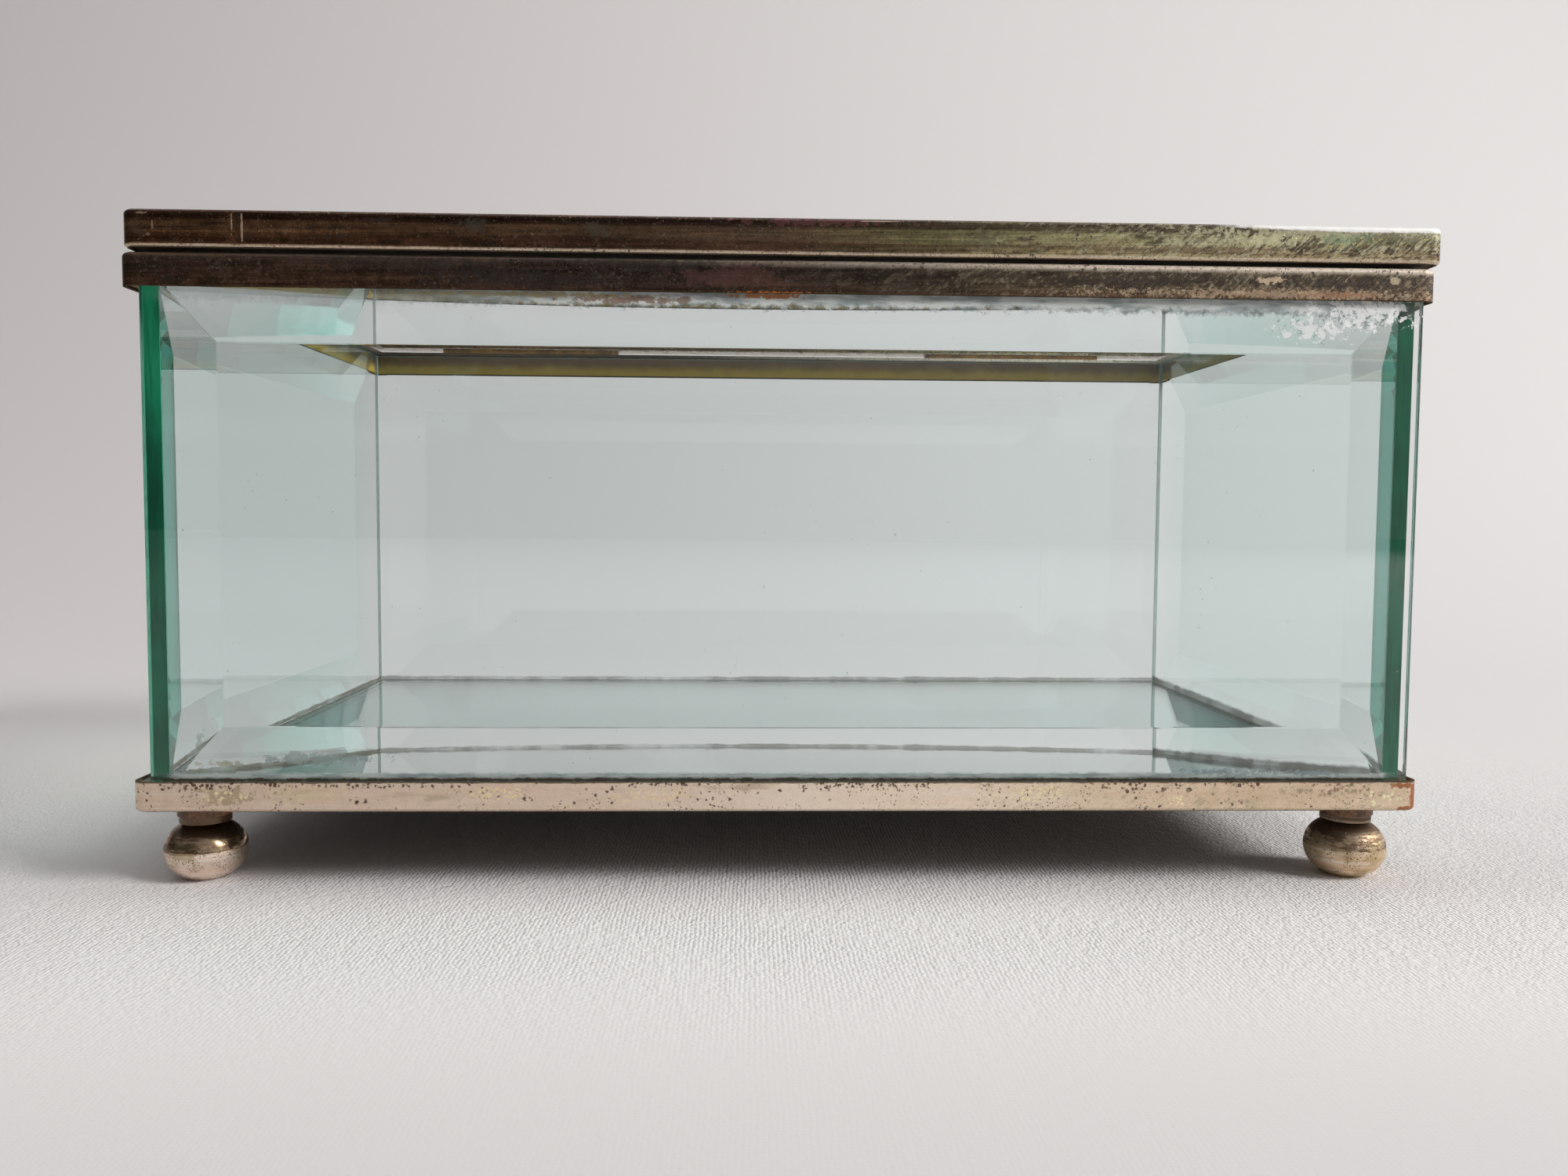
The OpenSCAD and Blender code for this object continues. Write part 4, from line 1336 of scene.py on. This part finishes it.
@dataclass
class UpperBand:
    """The folded band round the top of the glass."""

    # The band's tone is partly painted reflection of the room, dark at the left and lighter at the
    # right; its profile paints reflection and shade up the face, and its champagne top edge line
    # is mostly a painted highlight towards the right.
    plate: PlateFinish = PlateFinish(
        name="band plate",
        along=((0.0, (0.12, 0.068, 0.042)), (0.25, (0.07, 0.045, 0.035)),
               (0.4, (0.05, 0.035, 0.03)),
               (0.5, (0.1, 0.06, 0.045)), (0.6, (0.07, 0.055, 0.042)), (0.8, (0.13, 0.1, 0.065)),
               (1.0, (0.22, 0.165, 0.11))),
        profile=((0.0, (1.0, 0.85, 0.75)), (0.3, (1.0, 0.95, 0.9)), (0.55, (0.7, 0.7, 0.7)),
                 (0.8, (0.75, 0.75, 0.75)), (1.0, (1.0, 1.0, 1.0))),
        low_z=73.2, high_z=77.2, crust=(0.3, 0.25, 0.17), crust_start=0.56, crust_from=-10.0,
        stain=(0.05, 0.035, 0.025), stain_start=0.52, rust=(0.03, 0.018, 0.012),
        rust_spread=0.5, rough=(0.3, 0.48), bottom_edge_wear_and_painted_light=(0.12, 0.06, 0.03), low_reach=0.2,
        top_edge_wear_and_painted_light=(0.75, 0.64, 0.53), high_reach=1.1, glow=(0.6, 0.9), glow_left=0.06,
        scratch=0.3, pitted=0.4, strokes=0.85, shift=1.1, marks=(
            Mark(-8.0, 75.2, 7.0, 1.4, (0.13, 0.05, 0.042), 0.45, 0.9, 700.0),
            Mark(-2.0, 73.1, 5.0, 0.3, (0.45, 0.14, 0.025), 0.85, 0.9, 1500.0),
            Mark(-46.0, 76.2, 12.0, 0.8, (0.02, 0.016, 0.014), 0.6, 1.4, 1300.0),
            Mark(-33.0, 74.6, 9.0, 1.2, (0.02, 0.016, 0.016), 0.6, 1.4, 1300.0),
            Mark(-17.0, 76.3, 10.0, 0.8, (0.02, 0.016, 0.014), 0.6, 1.4, 1300.0),
            Mark(44.0, 75.2, 18.0, 0.75, (0.035, 0.025, 0.018), 0.7, 1.5, 1100.0),
            Mark(70.0, 75.1, 9.0, 0.7, (0.035, 0.022, 0.018), 0.7, 1.4, 1100.0),
            Mark(59.0, 75.5, 1.5, 0.45, (0.72, 0.56, 0.38), 0.7, 0.9, 1500.0),
            Mark(74.5, 75.6, 0.6, 0.5, (0.66, 0.55, 0.38), 0.6, 0.7, 1500.0),
            Mark(60.0, 73.8, 20.0, 0.5, (0.6, 0.44, 0.3), 0.55, 1.6, 2600.0, dull=0.1),
            Mark(68.0, 73.8, 4.0, 0.35, (0.3, 0.12, 0.06), 0.6, 1.4, 2000.0),
            Mark(36.5, 74.2, 2.2, 0.45, (0.5, 0.4, 0.28), 0.7, 0.9, 1500.0, speckled=2100.0),
        ))

    def dress(self) -> None:
        """Gives the band its finish."""
        paint("upper_band", self.plate.material())
        LOG.info("upper band")


@dataclass
class Hinges:
    """The two hinges behind the back edge."""

    def dress(self) -> None:
        """Gives the leaves and pins their finishes."""
        leaf = MatteFinish("hinge leaf", (0.4, 0.2, 0.055), (0.2, 0.1, 0.03), 500.0, 0.6)
        pin = MatteFinish("hinge pin", (0.3, 0.27, 0.22), (0.16, 0.13, 0.1), 500.0, 0.4)
        leaf_material, pin_material = leaf.material(), pin.material()
        for side in ("left", "right"):
            paint(f"hinge_{side}_body_leaf", leaf_material)
            paint(f"hinge_{side}_lid_leaf", leaf_material)
            paint(f"hinge_{side}_pin", pin_material)
            LOG.info("%s hinge", side)


@dataclass
class Lid:
    """The framed pane that covers the casket."""

    length: float = 157.0
    depth: float = 91.6
    bottom: float = 78.7
    shift: float = 0.5
    # The lid's tone is partly painted reflection of the room, dark brown at the left and olive at
    # the right; its profile paints a dark top, a lighter middle and a darker lower band, and its
    # champagne line along the bottom edge is partly a painted highlight.
    plate: PlateFinish = PlateFinish(
        name="lid plate",
        along=((0.0, (0.24, 0.125, 0.065)), (0.3, (0.18, 0.11, 0.07)), (0.5, (0.2, 0.13, 0.085)),
               (0.65, (0.3, 0.27, 0.14)), (0.82, (0.62, 0.57, 0.32)), (1.0, (0.8, 0.74, 0.47))),
        profile=((0.0, (0.8, 0.8, 0.8)), (0.14, (0.75, 0.66, 0.64)), (0.32, (0.66, 0.55, 0.54)),
                 (0.42, (1.0, 1.0, 1.0)), (0.66, (1.0, 1.0, 0.95)), (0.76, (0.34, 0.3, 0.33)),
                 (1.0, (0.24, 0.2, 0.23))),
        low_z=77.75, high_z=82.25, crust=(0.6, 0.57, 0.38), crust_start=0.56, crust_from=5.0,
        stain=(0.07, 0.045, 0.03), stain_start=0.56, rust=(0.025, 0.015, 0.01),
        rust_spread=0.57, rough=(0.16, 0.3), bottom_edge_wear_and_painted_light=(0.62, 0.5, 0.38), low_reach=0.55,
        top_edge_wear_and_painted_light=(0.35, 0.3, 0.26), high_reach=0.25, glow=(0.85, 0.4), scratch=0.4,
        pitted=0.4, strokes=0.8, shift=2.3, marks=(
            Mark(-77.3, 80.0, 1.3, 1.1, (0.05, 0.03, 0.022), 0.7, 1.3, 1500.0),
            Mark(-77.0, 81.7, 0.7, 0.12, (0.5, 0.34, 0.22), 0.6, 0.6, 1500.0),
            Mark(-75.7, 80.4, 0.13, 0.75, (0.5, 0.34, 0.22), 0.6, 0.6, 1500.0),
            Mark(-76.2, 79.2, 0.35, 0.14, (0.5, 0.34, 0.22), 0.5, 0.6, 1500.0),
            Mark(-65.75, 80.3, 0.45, 1.6, (0.02, 0.014, 0.01), 0.9, 0.8, 2200.0),
            Mark(-64.7, 79.1, 1.4, 0.22, (0.035, 0.022, 0.016), 0.85, 1.2, 1700.0),
            Mark(-54.5, 79.15, 2.3, 0.25, (0.035, 0.022, 0.016), 0.85, 1.2, 1700.0),
            Mark(-66.2, 80.1, 1.3, 2.0, (0.09, 0.04, 0.02), 0.8, 1.2, 1500.0),
            Mark(-65.2, 80.4, 0.14, 2.1, (0.6, 0.45, 0.32), 0.8, 0.6, 1300.0),
            Mark(-66.4, 80.5, 0.12, 1.3, (0.6, 0.45, 0.32), 0.7, 0.6, 1300.0),
            Mark(-57.4, 80.2, 0.8, 0.32, (0.035, 0.022, 0.016), 0.9, 0.8, 1700.0),
            Mark(-49.4, 81.2, 1.8, 0.35, (0.035, 0.024, 0.02), 0.85, 1.2, 1500.0),
            Mark(-37.6, 80.9, 1.4, 0.9, (0.05, 0.045, 0.035), 0.8, 1.0, 1500.0),
            Mark(-23.2, 80.6, 1.7, 0.9, (0.06, 0.055, 0.035), 0.75, 1.1, 1700.0),
            Mark(24.0, 79.9, 2.2, 0.8, (0.1, 0.1, 0.06), 0.7, 1.3, 1700.0),
            # Partly olive tarnish and partly painted reflection: lightens the top of the right
            # end, which the profile darkens.
            Mark(67.0, 81.2, 18.0, 0.7, (0.6, 0.58, 0.38), 0.75, 1.3, 1500.0),
            Mark(68.0, 80.4, 3.0, 0.8, (0.28, 0.4, 0.24), 0.6, 1.2, 1100.0),
            Mark(73.5, 80.6, 4.0, 0.8, (0.1, 0.11, 0.06), 0.6, 1.5, 1500.0),
            Mark(57.0, 80.4, 5.0, 0.7, (0.74, 0.72, 0.45), 0.55, 1.5, 1500.0),
            Mark(4.0, 81.7, 10.0, 0.5, (0.16, 0.06, 0.06), 0.6, 1.0, 900.0),
            # Painted highlight: a thin pinkish line along the top edge.
            Mark(11.0, 81.9, 3.5, 0.08, (0.7, 0.5, 0.46), 0.6, 0.3, 900.0, dull=0.1),
            # Painted highlight: a broad white line along the top edge of the right end.
            Mark(72.5, 82.2, 22.0, 0.9, (1.0, 1.0, 0.98), 0.97, 0.1, 900.0, dull=0.85),
        ))

    def build(self, glass: bpy.types.Material, ground: bpy.types.Material,
              cement: bpy.types.Material) -> None:
        """Builds the lid's pane and dresses its frame.

        Args:
            glass: the pane's glass.
            ground: its ground edges.
            cement: the cement that beds it.
        """
        paint("lid_frame", self.plate.material())
        paint("lid_cement", cement)
        shape = BevelledPane(self.length, self.depth).mesh()
        move(shape, 0, 0, -self.depth / 2 * MM)
        turn(shape, -90, "X")
        move(shape, self.shift * MM, 0, self.bottom * MM)
        made = to_object(shape, "lid_pane_glass", (glass, ground))
        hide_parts("lid_pane")
        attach(made, "lid")
        LOG.info("lid pane")


# ---------------------------------------------------------------- studio


@dataclass(frozen=True)
class Lamp:
    """A soft square lamp that points at the middle of the casket."""

    name: str
    place: Point
    size: float
    power: float
    colour: Colour
    target: Point = (0, 0, 0.04)

    def hang(self) -> None:
        """Hangs the lamp in the scene."""
        lamp = bpy.data.lights.new(self.name, "AREA")
        lamp.size, lamp.energy, lamp.color = self.size, self.power, self.colour
        made = bpy.data.objects.new(self.name, lamp)
        made.location = self.place
        aim = Vector(self.target) - Vector(self.place)
        made.rotation_euler = aim.to_track_quat("-Z", "Y").to_euler()
        bpy.context.scene.collection.objects.link(made)


@dataclass
class Studio:
    """The cloth, the backdrop, the lamps and the camera."""

    focal: float = 1538.5
    photo_width: int = 2000
    sensor: float = 36.0
    eye: Point = (-5.21, -195.15, 46.17)
    yaw: float = 1.857
    pitch: float = 3.37
    roll: float = 0.38
    half_width: float = 3.0
    half_depth: float = 1.2
    rise_y: float = 150.0
    rise_r: float = 900.0
    sweep: float = 88.0
    lamps: tuple[Lamp, ...] = (
        Lamp("window", (1.42, -0.62, 0.98), 0.6, 26.0, (1.0, 0.985, 0.97)),
        Lamp("overhead", (-0.1, -0.1, 1.4), 1.2, 4.0, (1.0, 0.98, 0.97)),
    )
    room: tuple[Colour, Colour] = ((0.07, 0.065, 0.06), (0.55, 0.53, 0.5))
    ceiling: tuple[Colour, Colour] = ((0.24, 0.235, 0.235), (0.5, 0.49, 0.49))
    bounces: int = 32

    def build_camera(self) -> None:
        """Sets the camera where the photograph was taken from."""
        yaw, pitch, roll = (math.radians(a) for a in (self.yaw, self.pitch, self.roll))
        ahead = Vector((math.sin(yaw) * math.cos(pitch), math.cos(yaw) * math.cos(pitch),
                        -math.sin(pitch)))
        level = Vector((math.cos(yaw), -math.sin(yaw), 0.0))
        above = level.cross(ahead)
        right = math.cos(roll) * level + math.sin(roll) * above
        up = -math.sin(roll) * level + math.cos(roll) * above
        lens = bpy.data.cameras.new("camera")
        lens.sensor_width = self.sensor
        lens.lens = self.focal / self.photo_width * self.sensor
        lens.clip_start, lens.clip_end = 0.01, 20.0
        camera = bpy.data.objects.new("camera", lens)
        camera.matrix_world = Matrix(((right.x, up.x, -ahead.x, self.eye[0] * MM),
                                      (right.y, up.y, -ahead.y, self.eye[1] * MM),
                                      (right.z, up.z, -ahead.z, self.eye[2] * MM), (0, 0, 0, 1)))
        bpy.context.scene.collection.objects.link(camera)
        bpy.context.scene.camera = camera

    def build_cloth(self, cloth: bpy.types.Material) -> None:
        """Lays the cloth and sweeps it up into a backdrop.

        Args:
            cloth: the cloth's material.
        """
        shape = bmesh.new()
        bmesh.ops.create_grid(shape, x_segments=1, y_segments=1, size=1.0)
        stretch(shape, self.half_width, self.half_depth, 1)
        move(shape, 0, self.rise_y * MM - self.half_depth, 0)
        rear = [e for e in shape.edges if all(v.co.y > self.rise_y * MM - 1e-6 for v in e.verts)]
        bmesh.ops.spin(shape, geom=rear, angle=math.radians(self.sweep), steps=64, use_merge=False,
                       axis=(1, 0, 0), cent=(0, self.rise_y * MM, self.rise_r * MM))
        bmesh.ops.remove_doubles(shape, verts=shape.verts, dist=1e-5)
        for face in shape.faces:
            face.smooth = True
        to_object(shape, "cloth_floor", (cloth,))

    def build_world(self) -> None:
        """Sets the world's light: darker at the left than at the right, under a ceiling."""
        world = bpy.data.worlds.new("room")
        bpy.context.scene.world = world
        world.use_nodes = True
        world.node_tree.nodes.clear()
        tree = Wiring(world.node_tree)
        x, _, z = tree.axes(tree.put("TexCoord").outputs["Generated"])
        room = tree.blend(tree.ramp(x, -0.5, 0.65), *self.room)
        ceiling = tree.blend(tree.ramp(x, -0.6, 0.7), *self.ceiling)
        shade = tree.blend(tree.ramp(z, 0.3, 0.6), room, ceiling)
        light = tree.put("Background", {"Color": shade, "Strength": 0.8})
        output = tree.put("OutputWorld", {"Surface": light.outputs[0]})
        output.is_active_output = True

    def build(self) -> None:
        """Builds the whole studio."""
        self.build_camera()
        self.build_cloth(ClothFinish().material())
        for lamp in self.lamps:
            lamp.hang()
        self.build_world()
        scene = bpy.context.scene
        scene.view_settings.view_transform = "Standard"
        scene.cycles.max_bounces = self.bounces
        scene.cycles.transmission_bounces = self.bounces
        scene.cycles.transparent_max_bounces = self.bounces
        scene.cycles.glossy_bounces = 12
        LOG.info("studio")


def main() -> None:
    """Builds and dresses the casket, then the studio round it."""
    logging.basicConfig(level=logging.INFO)
    Effects.build()
    glass = GlassFinish().material()
    ground = GroundEdgeFinish("ground edge", ((0.1, 0.26, 0.19), (0.16, 0.36, 0.27)),
                              ((0.36, 0.44, 0.4), (0.46, 0.52, 0.48)),
                              ((0.3, 0.32, 0.26), (0.5, 0.55, 0.48))).material()
    silver = SilverFinish().material()
    walls = Walls()
    Feet().dress()
    Base().build(silver)
    walls.build(FrontGlassFinish().material(), ground)
    UpperBand().dress()
    Hinges().dress()
    Lid().build(glass, ground, bpy.data.materials["old cement"])
    Studio().build()


if __name__ == "__main__":
    main()
